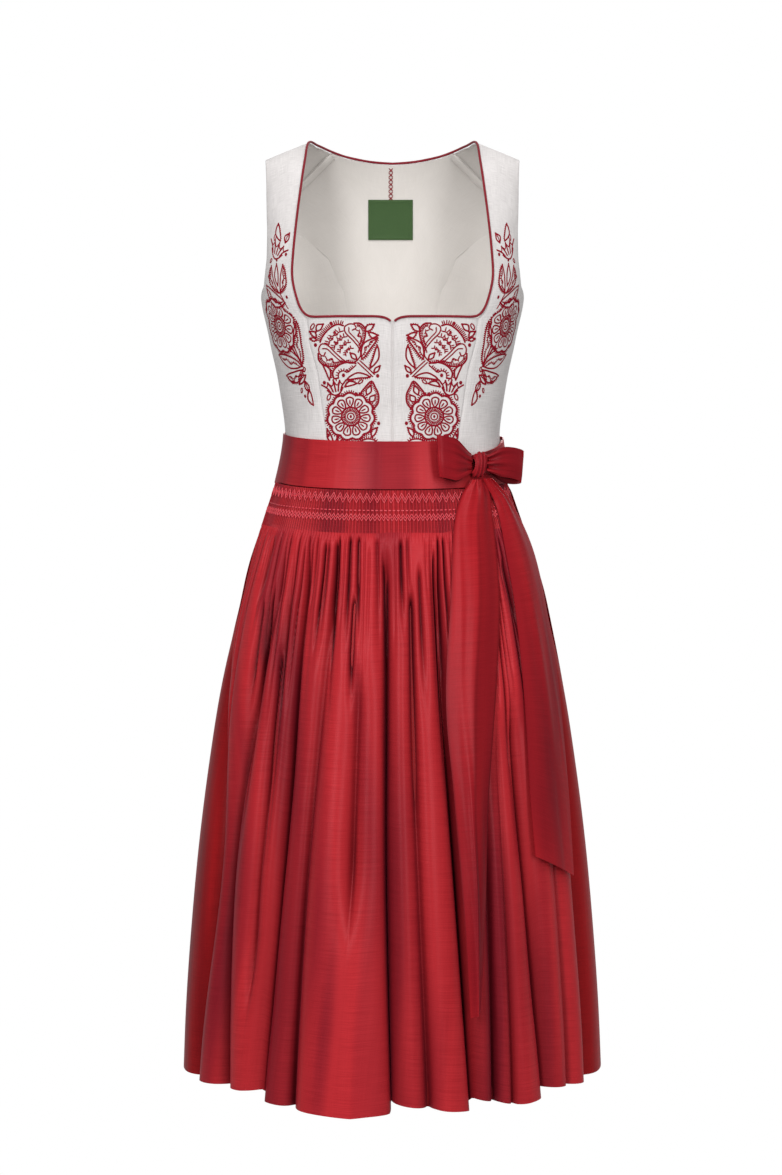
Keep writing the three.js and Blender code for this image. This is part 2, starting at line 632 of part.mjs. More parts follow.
const SKIRT_ROWS = [0, 0.05, 0.1, 0.17, 0.25, 0.34, 0.45, 0.57, 0.7, 0.85, 1];
const meanDrop = (down) => SKIRT_TOP + (FOLD_DROPS.hem - SKIRT_TOP) * down;

// Columns run down the valleys, their flanks and the crests between them.
function skirtColumns(folds) {
  return folds.flatMap((fold, i) => {
    const next = folds[(i + 1) % folds.length];
    const crest = fold.angle + wrap(next.angle - fold.angle) / 2 + (fold.width - next.width) / 2;
    return [fold.angle - fold.width, fold.angle, fold.angle + fold.width, crest];
  });
}

// The whole skirt as one ring of points, starting and ending at the wearer's right side seam.
const APRON_TOP_EASE = 1.1;
const APRON_TOP = BAND_BOTTOM + SEAM_GAP + APRON_TOP_EASE;
const APRON_TOP_DOWN = (APRON_TOP - SKIRT_TOP) / (FOLD_DROPS.hem - SKIRT_TOP);
const RING_ROWS = [SKIRT_ROWS[0], APRON_TOP_DOWN, ...SKIRT_ROWS.slice(1)];
const COLUMNS_A_FOLD = 4;
const ringStart = APRON_LEFT_FOLD * COLUMNS_A_FOLD - 1;
const ringColumn = (fold, place) => fold * COLUMNS_A_FOLD + place - ringStart;

const ring = RING_ROWS.map((down) => {
  const folds = foldsAt(meanDrop(down));
  const columns = skirtColumns(folds);
  const turned = [...columns.slice(ringStart), ...columns.slice(0, ringStart + 1)];
  return turned.map((angle) => skirtPoint(angle, down, folds));
});
const ringWays = outwards(ring, true);

function cutRing(rows, from, to) {
  const cut = (grid) => grid.filter((_, j) => rows(j)).map((row) => row.slice(from, to + 1).map((p) => p.clone()));
  return { grid: cut(ring), ways: cut(ringWays), downs: RING_ROWS.filter((_, j) => rows(j)) };
}

// A row of raised pleats over a grid row: points between its own, alternately low and high.
function pleatRow(row, ways, pleats, height) {
  const steps = pleats * 2;
  return Array.from({ length: steps + 1 }, (_, k) => {
    const along = k / steps;
    const place = along * (row.length - 1);
    const i = Math.min(row.length - 2, Math.floor(place));
    const t = place - i;
    const way = ways[i].clone().lerp(ways[i + 1], t);
    const lift = k % 2 === 1 ? height : 0;
    const point = row[i].clone().lerp(row[i + 1], t).addScaledVector(way, lift);
    point.along = along;
    return point;
  });
}

const GATHER_FADE = 110;
const gatherHeight = (down, whole, end) => (
  whole * (1 - THREE.MathUtils.smoothstep(meanDrop(down), end - GATHER_FADE, end))
);
const LEAST_PLEAT = 0.2;

// Draws the two side edges in by half a seam's gap.
function drawIn(grid) {
  const wide = grid[0].length - 1;
  const half = SEAM_GAP / 2 + FACE_EASE;
  grid.forEach((row) => {
    row[0].add(row[1].clone().sub(row[0]).setLength(half));
    row[wide].add(row[wide - 1].clone().sub(row[wide]).setLength(half));
  });
  return grid;
}

// ---------- skirt: a front and a back width, seamed at the sides ----------
const LEFT_SIDE = ringColumn(APRON_RIGHT_FOLD, 3);
const front = cutRing((j) => j !== 1, 0, LEFT_SIDE);
drawIn(front.grid);
addPiece('skirt_front', wall(front.grid, moved(front.grid, front.ways, -SKIRT_CLOTH)), shadeTaffeta());

const back = cutRing(() => true, LEFT_SIDE, ring[0].length - 1);
drawIn(back.grid);
const gatheredBack = back.grid.map((row, j) => {
  const lift = gatherHeight(back.downs[j], GATHER_HEIGHT, BACK_GATHER_END);
  return j > 0 && lift > LEAST_PLEAT ? pleatRow(row, back.ways[j], BACK_GATHERS, lift) : row;
});
addPiece('skirt_back', wall(gatheredBack, moved(back.grid, back.ways, -SKIRT_CLOTH)), taffeta());

// ---------- apron: smocked at the top, gathered, then loose, on the skirt's own points ----------
const apron = cutRing((j) => j > 0, ringColumn(APRON_LEFT_FOLD, 2), ringColumn(APRON_RIGHT_FOLD, 0));
const APRON_EASE = 0.1;
const APRON_SEAT = SEAM_GAP + APRON_EASE;
const apronOuter = moved(apron.grid, apron.ways, APRON_SEAT + APRON_CLOTH).map((row, j) => {
  if (meanDrop(apron.downs[j]) < SMOCK_END) return pleatRow(row, apron.ways[j], SMOCK_PLEATS, SMOCK_HEIGHT);
  const lift = gatherHeight(apron.downs[j], GATHER_HEIGHT, GATHER_END);
  return lift > LEAST_PLEAT ? pleatRow(row, apron.ways[j], GATHERS, lift) : row;
});
addPiece('apron', wall(apronOuter, moved(apron.grid, apron.ways, APRON_SEAT)), taffeta());

// ---------- apron waistband, and the tie that goes on from it round the back ----------
const BAND_SEAT = 0.7;
const STRIP_ROWS = 2;
const BAND_STEPS = 32;
const TIE_STEPS = 38;

// A strip round the waist: angle, how far it stands off the bodice, and its upper and lower edge.
function waistStrip(rows, thickness, steps) {
  const strip = (extra) => Array.from({ length: steps + 1 }, (_, i) => {
    const angle = THREE.MathUtils.lerp(rows[0].angle, rows[rows.length - 1].angle, i / steps);
    const off = readLine(rows, 'angle', 'off', angle) + extra;
    const top = readLine(rows, 'angle', 'top', angle);
    const bottom = readLine(rows, 'angle', 'bottom', angle);
    return Array.from({ length: STRIP_ROWS + 1 }, (__, k) => {
      const drop = THREE.MathUtils.lerp(top, bottom, k / STRIP_ROWS);
      const point = ovalPoint(angle, drop, -off);
      point.along = k / STRIP_ROWS;
      return point;
    });
  });
  return wall(strip(thickness), strip(0));
}

const KNOT_ANGLE = 42.5;
addPiece('apron_waistband', waistStrip([
  { angle: -86, off: BAND_SEAT, top: BAND_TOP, bottom: BAND_BOTTOM },
  { angle: 0, off: BAND_SEAT, top: BAND_TOP, bottom: BAND_BOTTOM },
  { angle: 86, off: BAND_SEAT, top: BAND_TOP, bottom: BAND_BOTTOM },
], BAND_CLOTH, BAND_STEPS), taffeta());

const TIE_EASE = 0.6;
const OVER_BAND = BAND_SEAT + BAND_CLOTH + SEAM_GAP + TIE_EASE;
addPiece('apron_tie_back', waistStrip([
  { angle: KNOT_ANGLE - 3, off: OVER_BAND, top: 350, bottom: 374 },
  { angle: 66, off: OVER_BAND, top: 340, bottom: 373 },
  { angle: 84, off: OVER_BAND, top: 333, bottom: 380 },
  { angle: 96, off: OVER_BAND, top: 332, bottom: 381 },
  { angle: 130, off: BAND_SEAT, top: 335, bottom: 382 },
  { angle: 200, off: BAND_SEAT, top: 337, bottom: 384 },
  { angle: 273.3, off: BAND_SEAT, top: 336, bottom: 385 },
], RIBBON_CLOTH, TIE_STEPS), taffeta());

// ---------- bow: knot, two loops and two tails ----------
const KNOT = { drop: 363, halfHeight: 15.5, radius: 9, depth: 0.75, segments: 14 };
const KNOT_EASE = 0.9;
const knotSeat = OVER_BAND + RIBBON_CLOTH + SEAM_GAP + KNOT_EASE;
const knotCentre = ovalPoint(KNOT_ANGLE, KNOT.drop, -knotSeat - KNOT.radius * KNOT.depth);
const knotFoot = ovalPoint(KNOT_ANGLE, KNOT.drop, -knotSeat);
const knotTurn = Math.atan2(knotCentre.y - knotFoot.y, knotCentre.x - knotFoot.x) + Math.PI / 2;
const knotProfile = [
  [0, -1], [0.62, -0.93], [0.92, -0.62], [0.9, -0.2], [1, 0.15], [0.93, 0.6], [0.66, 0.92], [0, 1],
].map(([r, h]) => new THREE.Vector2(r * KNOT.radius, h * KNOT.halfHeight));
const knotShape = new THREE.LatheGeometry(knotProfile, KNOT.segments);
knotShape.rotateX(Math.PI / 2);
knotShape.scale(1, KNOT.depth, 1);
knotShape.rotateZ(knotTurn);
knotShape.translate(knotCentre.x, knotCentre.y, knotCentre.z);
addPiece('bow_knot', knotShape, taffeta());

// A loop leaves the knot at the front, turns over at its tip and comes back behind.
// "Out" is the distance from the knot; "stand" is how far it stands before the knot's back. It
// reaches its full height part of the way out, and its middle lies a little above the knot's.
const RIBBON_COLUMNS = 4;
const LOOP_STEPS = 15;
const LOOP_SPREAD = 1.7;
const LOOP_FORWARD = 0.9;
const LOOP_RISE = 2;
const LOOP_GLANCE = 0.03;

function bowLoop({ out, rows, droop, halfTip, halfRoot, direction, lead }) {
  const change = (column, t) => (
    readLine(rows, 't', column, Math.min(1, t + LOOP_GLANCE)) - readLine(rows, 't', column, Math.max(0, t - LOOP_GLANCE))
  );
  const sheet = (thick) => Array.from({ length: LOOP_STEPS + 1 }, (_, i) => {
    const t = i / LOOP_STEPS;
    const away = readLine(rows, 't', 'away', t) * out;
    const stand = readLine(rows, 't', 'stand', t);
    const share = clamp(away / out, 0, 1);
    const half = THREE.MathUtils.lerp(halfRoot, halfTip, Math.min(1, share * LOOP_SPREAD));
    const turn = new THREE.Vector2(change('away', t) * out, change('stand', t)).normalize();
    const localAway = away - turn.y * thick;
    const localStand = stand + turn.x * thick;
    return Array.from({ length: RIBBON_COLUMNS + 1 }, (__, k) => {
      const v = (k / RIBBON_COLUMNS) * 2 - 1;
      const x = knotCentre.x + direction.x * (lead + localAway);
      const y = knotCentre.y + direction.y * (lead + localAway) - localStand * LOOP_FORWARD;
      const point = new THREE.Vector3(x, y, knotCentre.z + LOOP_RISE - droop * share + v * half);
      point.along = k / RIBBON_COLUMNS;
      return point;
    });
  });
  return wall(sheet(RIBBON_CLOTH / 2), sheet(-RIBBON_CLOTH / 2));
}

const LOOP_ROWS = [
  { t: 0, away: 0, stand: 2.5 }, { t: 0.12, away: 0.2, stand: 7 }, { t: 0.26, away: 0.5, stand: 9.5 },
  { t: 0.4, away: 0.84, stand: 8 }, { t: 0.47, away: 0.97, stand: 5 }, { t: 0.53, away: 0.97, stand: 1 },
  { t: 0.6, away: 0.84, stand: -2 }, { t: 0.8, away: 0.4, stand: -2 }, { t: 1, away: 0, stand: -0.5 },
];
addPiece('bow_loop_left', bowLoop({
  out: 48, rows: LOOP_ROWS, droop: 2, halfTip: 20, halfRoot: 9, lead: 10.4,
  direction: new THREE.Vector2(0.86, 0.5),
}), taffeta());
addPiece('bow_loop_right', bowLoop({
  out: 44, rows: LOOP_ROWS, droop: -8, halfTip: 22, halfRoot: 9, lead: 10.4,
  direction: new THREE.Vector2(-0.86, -0.5),
}), taffeta());

// A tail lies on the skirt's crests. Its edges are angles round the body; "fold" is how far its
// middle stands forward where it is creased lengthwise, "off" how far it stands off the apron.
const LONG_TAIL_STEPS = 22;
const SHORT_TAIL_STEPS = 18;

function bowTail(rows, steps) {
  const sheet = (extra) => Array.from({ length: steps + 1 }, (_, j) => {
    const at = j / steps;
    const row = (column) => readLine(rows, 'at', column, at);
    return Array.from({ length: RIBBON_COLUMNS + 1 }, (__, k) => {
      const t = k / RIBBON_COLUMNS;
      const angle = THREE.MathUtils.lerp(row('left'), row('right'), t);
      const drop = THREE.MathUtils.lerp(row('dropLeft'), row('dropRight'), t);
      const crease = row('fold') * (1 - Math.abs(2 * t - 1));
      const point = ovalPoint(angle, drop, -(row('off') + crease + extra));
      point.along = t;
      return point;
    });
  });
  return wall(sheet(RIBBON_CLOTH), sheet(0));
}

addPiece('bow_tail_long', bowTail([
  { at: 0, left: 37, right: 43.2, dropLeft: 379.2, dropRight: 378.85, off: 11.5, fold: 1 },
  { at: 0.05, left: 34, right: 48, dropLeft: 396, dropRight: 394, off: 8, fold: 3 },
  { at: 0.11, left: 27, right: 46, dropLeft: 427, dropRight: 424, off: 7, fold: 2 },
  { at: 0.2, left: 22, right: 43, dropLeft: 490, dropRight: 486, off: 6, fold: 3 },
  { at: 0.4, left: 17, right: 35, dropLeft: 612, dropRight: 608, off: 5.5, fold: 4 },
  { at: 0.6, left: 18, right: 29, dropLeft: 728, dropRight: 724, off: 5.5, fold: 6 },
  { at: 0.8, left: 19.5, right: 26, dropLeft: 850, dropRight: 846, off: 5.5, fold: 9 },
  { at: 1, left: 20.5, right: 23.5, dropLeft: 966, dropRight: 958, off: 5.5, fold: 11 },
], LONG_TAIL_STEPS), taffeta());
addPiece('bow_tail_short', bowTail([
  { at: 0, left: 43.9, right: 51, dropLeft: 378.6, dropRight: 379.2, off: 11.5, fold: 1 },
  { at: 0.08, left: 51, right: 65, dropLeft: 408, dropRight: 404, off: 8, fold: 3 },
  { at: 0.2, left: 50, right: 76, dropLeft: 462, dropRight: 456, off: 7, fold: 3 },
  { at: 0.35, left: 48.5, right: 72, dropLeft: 530, dropRight: 526, off: 6, fold: 3 },
  { at: 0.6, left: 46, right: 67, dropLeft: 635, dropRight: 645, off: 5.5, fold: 2 },
  { at: 0.85, left: 44, right: 63, dropLeft: 735, dropRight: 765, off: 5.5, fold: 2 },
  { at: 1, left: 44, right: 61.5, dropLeft: 796, dropRight: 826, off: 5.5, fold: 2 },
], SHORT_TAIL_STEPS), taffeta());

export default model;
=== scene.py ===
import math
from collections import namedtuple

import bmesh
import bpy
import numpy as np
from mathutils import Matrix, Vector


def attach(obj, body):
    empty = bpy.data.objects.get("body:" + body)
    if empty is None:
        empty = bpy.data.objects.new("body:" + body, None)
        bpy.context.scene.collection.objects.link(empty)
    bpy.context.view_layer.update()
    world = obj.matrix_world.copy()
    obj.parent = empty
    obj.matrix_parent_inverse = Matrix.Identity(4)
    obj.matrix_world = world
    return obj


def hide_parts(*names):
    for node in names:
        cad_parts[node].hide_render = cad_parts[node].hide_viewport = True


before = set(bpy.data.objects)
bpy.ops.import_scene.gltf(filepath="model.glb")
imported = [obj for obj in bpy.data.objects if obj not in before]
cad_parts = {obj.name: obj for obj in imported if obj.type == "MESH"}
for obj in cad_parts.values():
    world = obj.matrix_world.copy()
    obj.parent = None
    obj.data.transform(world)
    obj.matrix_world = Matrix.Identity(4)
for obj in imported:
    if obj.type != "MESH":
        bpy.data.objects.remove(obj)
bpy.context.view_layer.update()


# ---------- Camera ----------
# A long lens at the height of the waist, a little above it and looking slightly down, square to
# the front of the dress.
CAMERA_PLACE = (-0.0017, -3.6449, -0.1768)
CAMERA_TILT = 84.8
CAMERA_LENS = 97.5

camera_data = bpy.data.cameras.new("camera")
camera_data.lens = CAMERA_LENS
camera_data.sensor_width = 36
camera = bpy.data.objects.new("camera", camera_data)
camera.location = CAMERA_PLACE
camera.rotation_euler = (math.radians(CAMERA_TILT), 0, 0)
bpy.context.scene.collection.objects.link(camera)
bpy.context.scene.camera = camera


# ---------- Studio ----------
# A white room with a pale floor a wearer's leg below the hem. One broad soft light stands before
# the dress at each side, one above it and one behind it.
FLOOR_BELOW = 1.42
ROOM_LIGHT = 0.32


def plain_material(name, colour, roughness):
    material = bpy.data.materials.new(name)
    material.use_nodes = True
    shader = material.node_tree.nodes["Principled BSDF"]
    shader.inputs["Base Color"].default_value = (*colour, 1)
    shader.inputs["Roughness"].default_value = roughness
    return material


bm = bmesh.new()
bmesh.ops.create_circle(bm, cap_ends=True, segments=96, radius=0.74)
bmesh.ops.translate(bm, verts=bm.verts, vec=(0, 0, -FLOOR_BELOW))
floor_mesh = bpy.data.meshes.new("studio_floor")
bm.to_mesh(floor_mesh)
bm.free()
floor = bpy.data.objects.new("studio_floor", floor_mesh)
bpy.context.scene.collection.objects.link(floor)
floor_mesh.materials.append(plain_material("floor", (0.9, 0.9, 0.9), 0.9))

world = bpy.data.worlds.new("studio")
bpy.context.scene.world = world
world.use_nodes = True
world_nodes = world.node_tree.nodes
world_links = world.node_tree.links
world_nodes.clear()
light_room = world_nodes.new("ShaderNodeBackground")
light_room.inputs["Strength"].default_value = ROOM_LIGHT
white_wall = world_nodes.new("ShaderNodeBackground")
white_wall.inputs["Color"].default_value = (1, 1, 1, 1)
light_path = world_nodes.new("ShaderNodeLightPath")
wall_mix = world_nodes.new("ShaderNodeMixShader")
world_out = world_nodes.new("ShaderNodeOutputWorld")
light_room.inputs["Color"].default_value = (1, 1, 1, 1)
world_links.new(light_path.outputs["Is Camera Ray"], wall_mix.inputs[0])
world_links.new(light_room.outputs[0], wall_mix.inputs[1])
world_links.new(white_wall.outputs[0], wall_mix.inputs[2])
world_links.new(wall_mix.outputs[0], world_out.inputs["Surface"])

SoftLight = namedtuple("SoftLight", "name place aim width height watts")
SOFT_LIGHTS = [
    SoftLight("key", (-1.25, -3.3, 0.8), (0, 0, -0.5), 0.7, 2.2, 67),
    SoftLight("fill", (1.35, -3.3, 0.5), (0, 0, -0.5), 0.7, 2.4, 52),
    SoftLight("top", (0, -1.8, 2.2), (0, 0, -0.4), 1.6, 1.6, 40),
    SoftLight("back", (0.6, 3.0, 1.2), (0, 0, -0.5), 2.0, 2.2, 66),
]
for light in SOFT_LIGHTS:
    lamp = bpy.data.lights.new(light.name, "AREA")
    lamp.shape = "RECTANGLE"
    lamp.size = light.width
    lamp.size_y = light.height
    lamp.energy = light.watts
    lamp_object = bpy.data.objects.new(light.name, lamp)
    lamp_object.location = light.place
    aim = Vector(light.aim) - Vector(light.place)
    lamp_object.rotation_euler = aim.to_track_quat("-Z", "Y").to_euler()
    bpy.context.scene.collection.objects.link(lamp_object)
bpy.context.scene.view_settings.view_transform = "Standard"


# ---------- Bodice panels ----------
# Undyed linen, cut in eight panels: centre and side fronts with the straps in one piece, side and
# centre backs. Each is a thin shell on the general figure, sewn edge to edge.
MM = 0.001
Ring = namedtuple("Ring", "drop half front back square")
BODY = [
    Ring(0, 150, 104, 98, 2.3),
    Ring(120, 150, 112, 104, 2.3),
    Ring(180, 149.5, 119, 105, 2.3),
    Ring(225, 140, 115, 100, 2.3),
    Ring(270, 131, 106, 94, 2.3),
    Ring(316, 124, 98, 89, 2.3),
    Ring(345, 123, 96, 88, 2.3),
    Ring(386, 131, 101, 92, 2.3),
    Ring(431, 146, 114, 106, 2.2),
    Ring(477, 162, 128, 120, 2.1),
    Ring(523, 176, 141, 133, 2.05),
    Ring(616, 197, 163, 155, 2),
    Ring(709, 212, 180, 172, 2),
    Ring(802, 224, 194, 186, 2),
    Ring(896, 233, 204, 197, 2),
    Ring(991, 240, 211, 204, 2),
    Ring(1080, 244, 215, 208, 2),
]
FULL_DEPTH_DROP = 160
UNDERARM = 180
WAIST = 386
RIDGE_Y = 5
NECK_X = 97
NECK_DROP = 1
SHOULDER_SLOPE = 0.42
FRONT_RISE, FRONT_ROUND = 1.5, 1.4
BACK_RISE, BACK_ROUND = 3, 1.8


def smooth(rows, key, column):
    """A smooth curve through one column of a table, read at any place along its key column."""
    at = np.array([getattr(row, key) for row in rows], float)
    value = np.array([getattr(row, column) for row in rows], float)
    slope = np.gradient(value, at)
    slope[1:-1] = (value[2:] - value[:-2]) / (at[2:] - at[:-2])

    def read(place):
        place = np.clip(np.asarray(place, float), at[0], at[-1])
        i = np.clip(np.searchsorted(at, place, side="right") - 1, 0, len(at) - 2)
        step = at[i + 1] - at[i]
        t = (place - at[i]) / step
        return ((2 * t**3 - 3 * t**2 + 1) * value[i] + (t**3 - 2 * t**2 + t) * step * slope[i]
                + (3 * t**2 - 2 * t**3) * value[i + 1] + (t**3 - t**2) * step * slope[i + 1])

    return read


half_at = smooth(BODY, "drop", "half")
front_at = smooth(BODY, "drop", "front")
back_at = smooth(BODY, "drop", "back")
square_at = smooth(BODY, "drop", "square")


def ridge_drop(x):
    return NECK_DROP + SHOULDER_SLOPE * (np.abs(x) - NECK_X)


def bodice_point(turn, reach):
    """A point of the bodice: turn is 0 at the middle and 90 at the side seam, reach is 0 on the
    shoulder, +1 where the front has its full depth and -1 where the back has."""
    turn, reach = np.broadcast_arrays(np.asarray(turn, float), np.asarray(reach, float))
    size = np.abs(reach)
    below = FULL_DEPTH_DROP * size
    power = 2 / square_at(below)
    sine = np.sin(np.radians(turn))
    x = half_at(below) * np.sign(sine) * np.abs(sine) ** power
    start = ridge_drop(x)
    inner = np.clip(size, 0, 1)
    drop = np.where(size < 1, start + (FULL_DEPTH_DROP - start) * inner**2, below)
    front = reach >= 0
    depth = np.where(front, -front_at(drop), back_at(drop)) * np.abs(np.cos(np.radians(turn))) ** power
    rise = np.where(front, FRONT_RISE, BACK_RISE)
    rounding = np.where(front, FRONT_ROUND, BACK_ROUND)
    part = (1 - (1 - inner**2) ** rise) ** (1 / rounding)
    y = RIDGE_Y * (1 - part) + depth * part
    return np.stack([x, y, -drop], -1)


def bodice_place(x, drop, behind=False, at_side=False):
    """The turn and reach of a place given by its distance from the middle and its drop."""
    x, drop = np.broadcast_arrays(np.asarray(x, float), np.asarray(drop, float))
    start = ridge_drop(x)
    upper = np.sqrt(np.clip((drop - start) / (FULL_DEPTH_DROP - start), 0, 1))
    size = np.where(drop < FULL_DEPTH_DROP, upper, drop / FULL_DEPTH_DROP)
    sine = np.clip((np.abs(x) / half_at(drop)) ** (square_at(drop) / 2), 0, 1)
    turn = np.degrees(np.arcsin(sine)) * np.sign(x)
    if at_side:
        turn = np.full_like(turn, 90)
    return turn, (-size if behind else size)


Spot = namedtuple("Spot", "x drop behind at_side", defaults=(False, False))


def seam(rows, steps):
    """A seam walked at an even pace: a table of turn and reach against the share of its steps."""
    places = [bodice_place(s.x, s.drop, s.behind, s.at_side) for s in rows]
    knots = np.arange(len(places))
    fine = np.linspace(0, len(places) - 1, 24 * (len(places) - 1) + 1)
    turn = np.interp(fine, knots, [float(p[0]) for p in places])
    reach = np.interp(fine, knots, [float(p[1]) for p in places])
    points = bodice_point(turn, reach)
    gone = np.concatenate([[0], np.cumsum(np.linalg.norm(np.diff(points, axis=0), axis=1))])
    return gone / gone[-1] * steps, turn, reach


def edge(*parts):
    """Several seams in turn, each with its number of steps, read from 0 to 1."""
    at, turns, reaches, start = [], [], [], 0
    for rows, steps in parts:
        share, turn, reach = seam(rows, steps)
        at.append(share + start)
        turns.append(turn)
        reaches.append(reach)
        start += steps
    at = np.concatenate(at) / start
    turns, reaches = np.concatenate(turns), np.concatenate(reaches)
    return lambda t: (np.interp(t, at, turns), np.interp(t, at, reaches))


def back_spots(*pairs):
    return [Spot(x, drop, True) for x, drop in pairs]


FRONT_PRINCESS = [
    Spot(72, WAIST), Spot(75, 329), Spot(80, 295), Spot(85, 257), Spot(93, 228), Spot(96, 199),
]
NECK_FRONT = [
    Spot(96, 199), Spot(101, 194), Spot(104.5, 187), Spot(108, 174), Spot(113, 152), Spot(110, 110),
    Spot(104, 56), Spot(99, 18), Spot(97, 1),
]
NECK_SHOULDER_BACK = back_spots((97, 1), (88, 4), (73, 10))
NECK_BACK = back_spots((0, 23), (30, 21), (56, 16), (73, 10))
NECK_BOTTOM = [Spot(0, 203), Spot(3, 200.2), Spot(10, 198), Spot(60, 198), Spot(96, 199)]
CENTRE_FRONT = [Spot(0, WAIST), Spot(0, 300), Spot(0, 203)]
CENTRE_BACK = back_spots((0, WAIST), (0, 200), (0, 23))
WAIST_CENTRE = [Spot(0, WAIST), Spot(72, WAIST)]
WAIST_SIDE = [Spot(72, WAIST), Spot(110, WAIST), Spot(131, WAIST, False, True)]
SIDE_SEAM = [Spot(131, WAIST, False, True), Spot(124, 300, False, True), Spot(149.5, UNDERARM, False, True)]
ARMHOLE_FRONT = [
    Spot(149.5, UNDERARM, False, True), Spot(146, 165), Spot(142.5, 135), Spot(142, 100),
    Spot(143.5, 60), Spot(145, 21.2),
]
ARMHOLE_SHOULDER_BACK = back_spots((145, 21.2), (144, 45), (142.5, 70))
SHOULDER_SEAM = back_spots((73, 10), (103, 40), (142.5, 70))
BACK_PRINCESS = back_spots((44, WAIST), (46, 300), (50, 200), (57, 167), (74, 132), (106, 105), (127, 97))
BACK_PRINCESS_END = back_spots((127, 97), (141, 92))
ARMHOLE_BACK_TOP = back_spots((141, 92), (142.5, 70))
ARMHOLE_BACK_LOWER = [
    Spot(149.5, UNDERARM, True, True), Spot(146, 165, True), Spot(142, 130, True), Spot(141, 92, True),
]
SIDE_SEAM_BEHIND = [spot._replace(behind=True) for spot in SIDE_SEAM]
WAIST_BACK_CENTRE = back_spots((0, WAIST), (44, WAIST))
WAIST_BACK_SIDE = back_spots((44, WAIST), (95, WAIST)) + [Spot(131, WAIST, True, True)]

Panel = namedtuple("Panel", "name bottom top inner outer columns rows width")
PANELS = [
    Panel("bodice_front_centre", edge((WAIST_CENTRE, 4)), edge((NECK_BOTTOM, 4)),
          edge((CENTRE_FRONT, 10)), edge((FRONT_PRINCESS, 10)), 80, 50, 88),
    Panel("bodice_front_side", edge((WAIST_SIDE, 5)), edge((SHOULDER_SEAM, 5)),
          edge((FRONT_PRINCESS, 10), (NECK_FRONT, 12), (NECK_SHOULDER_BACK, 4)),
          edge((SIDE_SEAM, 11), (ARMHOLE_FRONT, 10), (ARMHOLE_SHOULDER_BACK, 5)), 34, 120, 78),
    Panel("bodice_back_side", edge((WAIST_BACK_SIDE, 4)), edge((BACK_PRINCESS_END, 4)),
          edge((BACK_PRINCESS, 16)), edge((SIDE_SEAM_BEHIND, 11), (ARMHOLE_BACK_LOWER, 5)), 32, 72, 100),
    Panel("bodice_back_centre", edge((WAIST_BACK_CENTRE, 8)), edge((NECK_BACK, 3), (SHOULDER_SEAM, 5)),
          edge((CENTRE_BACK, 18)), edge((BACK_PRINCESS, 16), (BACK_PRINCESS_END, 1), (ARMHOLE_BACK_TOP, 1)),
          34, 96, 80),
]


def panel_points(panel, u, v):
    """The panel's surface between its four edges, u from the middle outwards and v upwards."""
    bottom, top, inner, outer = panel.bottom(u), panel.top(u), panel.inner(v), panel.outer(v)
    bottom0, bottom1, top0, top1 = panel.bottom(0), panel.bottom(1), panel.top(0), panel.top(1)
    place = [
        (1 - u) * inner[k] + u * outer[k] + (1 - v) * bottom[k] + v * top[k]
        - (1 - u) * (1 - v) * bottom0[k] - u * (1 - v) * bottom1[k]
        - (1 - u) * v * top0[k] - u * v * top1[k]
        for k in (0, 1)
    ]
    return bodice_point(*place)


def ways_out(points):
    """Unit normals of a grid of points, pointing away from the body's axis."""
    down = np.gradient(points, axis=0)
    across = np.gradient(points, axis=1)
    normal = np.cross(across, down)
    normal /= np.maximum(np.linalg.norm(normal, axis=-1, keepdims=True), 1e-9)
    row, column = points.shape[0] // 2, points.shape[1] // 2
    if np.dot(normal[row, column, :2], points[row, column, :2]) < 0:
        normal = -normal
    return normal


def cloth_sheet(name, columns, rows, shape, size, materials, thickness, tone=None):
    """A sheet of cloth: a flat grid whose points are laid where shape(u, v) says, in millimetres,
    then thickened inwards. Its own map runs over the flat cloth in metres."""
    bm = bmesh.new()
    bmesh.ops.create_grid(bm, x_segments=columns, y_segments=rows, size=1)
    bm.verts.ensure_lookup_table()
    flat = np.array([v.co for v in bm.verts])
    i = np.rint((flat[:, 0] + 1) / 2 * columns).astype(int)
    j = np.rint((flat[:, 1] + 1) / 2 * rows).astype(int)
    u, v = np.meshgrid(np.linspace(0, 1, columns + 1), np.linspace(0, 1, rows + 1))
    points = shape(u, v)
    for border in bm.edges:
        border.smooth = not border.is_boundary
    mesh = bpy.data.meshes.new(name)
    bm.to_mesh(mesh)
    bm.free()
    mesh.vertices.foreach_set("co", (points[j, i] * MM).ravel())
    uv = mesh.uv_layers.new(name="cloth")
    corner = np.empty(len(mesh.loops), int)
    mesh.loops.foreach_get("vertex_index", corner)
    on_cloth = np.stack([i[corner] / columns * size[0], j[corner] / rows * size[1]], -1)
    uv.data.foreach_set("uv", on_cloth.ravel())
    mesh.polygons.foreach_set("use_smooth", np.ones(len(mesh.polygons), bool))
    mesh.update()
    middle = mesh.polygons[len(mesh.polygons) // 2 + columns // 2]
    if middle.normal.xy.dot(middle.center.xy) < 0:
        mesh.flip_normals()
    # Painted shade: the tone attribute tells the taffeta how much to darken each point.
    if tone is not None:
        shade = mesh.attributes.new("tone", "FLOAT", "POINT")
        shade.data.foreach_set("value", np.clip(tone(u, v), 0, 1)[j, i])
    for material in materials:
        mesh.materials.append(material)
    sheet = bpy.data.objects.new(name, mesh)
    bpy.context.scene.collection.objects.link(sheet)
    wall = sheet.modifiers.new("cloth", "SOLIDIFY")
    wall.thickness = thickness * MM
    wall.offset = -1
    if len(materials) > 1:
        wall.material_offset = 1
    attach(sheet, "root")
    return sheet


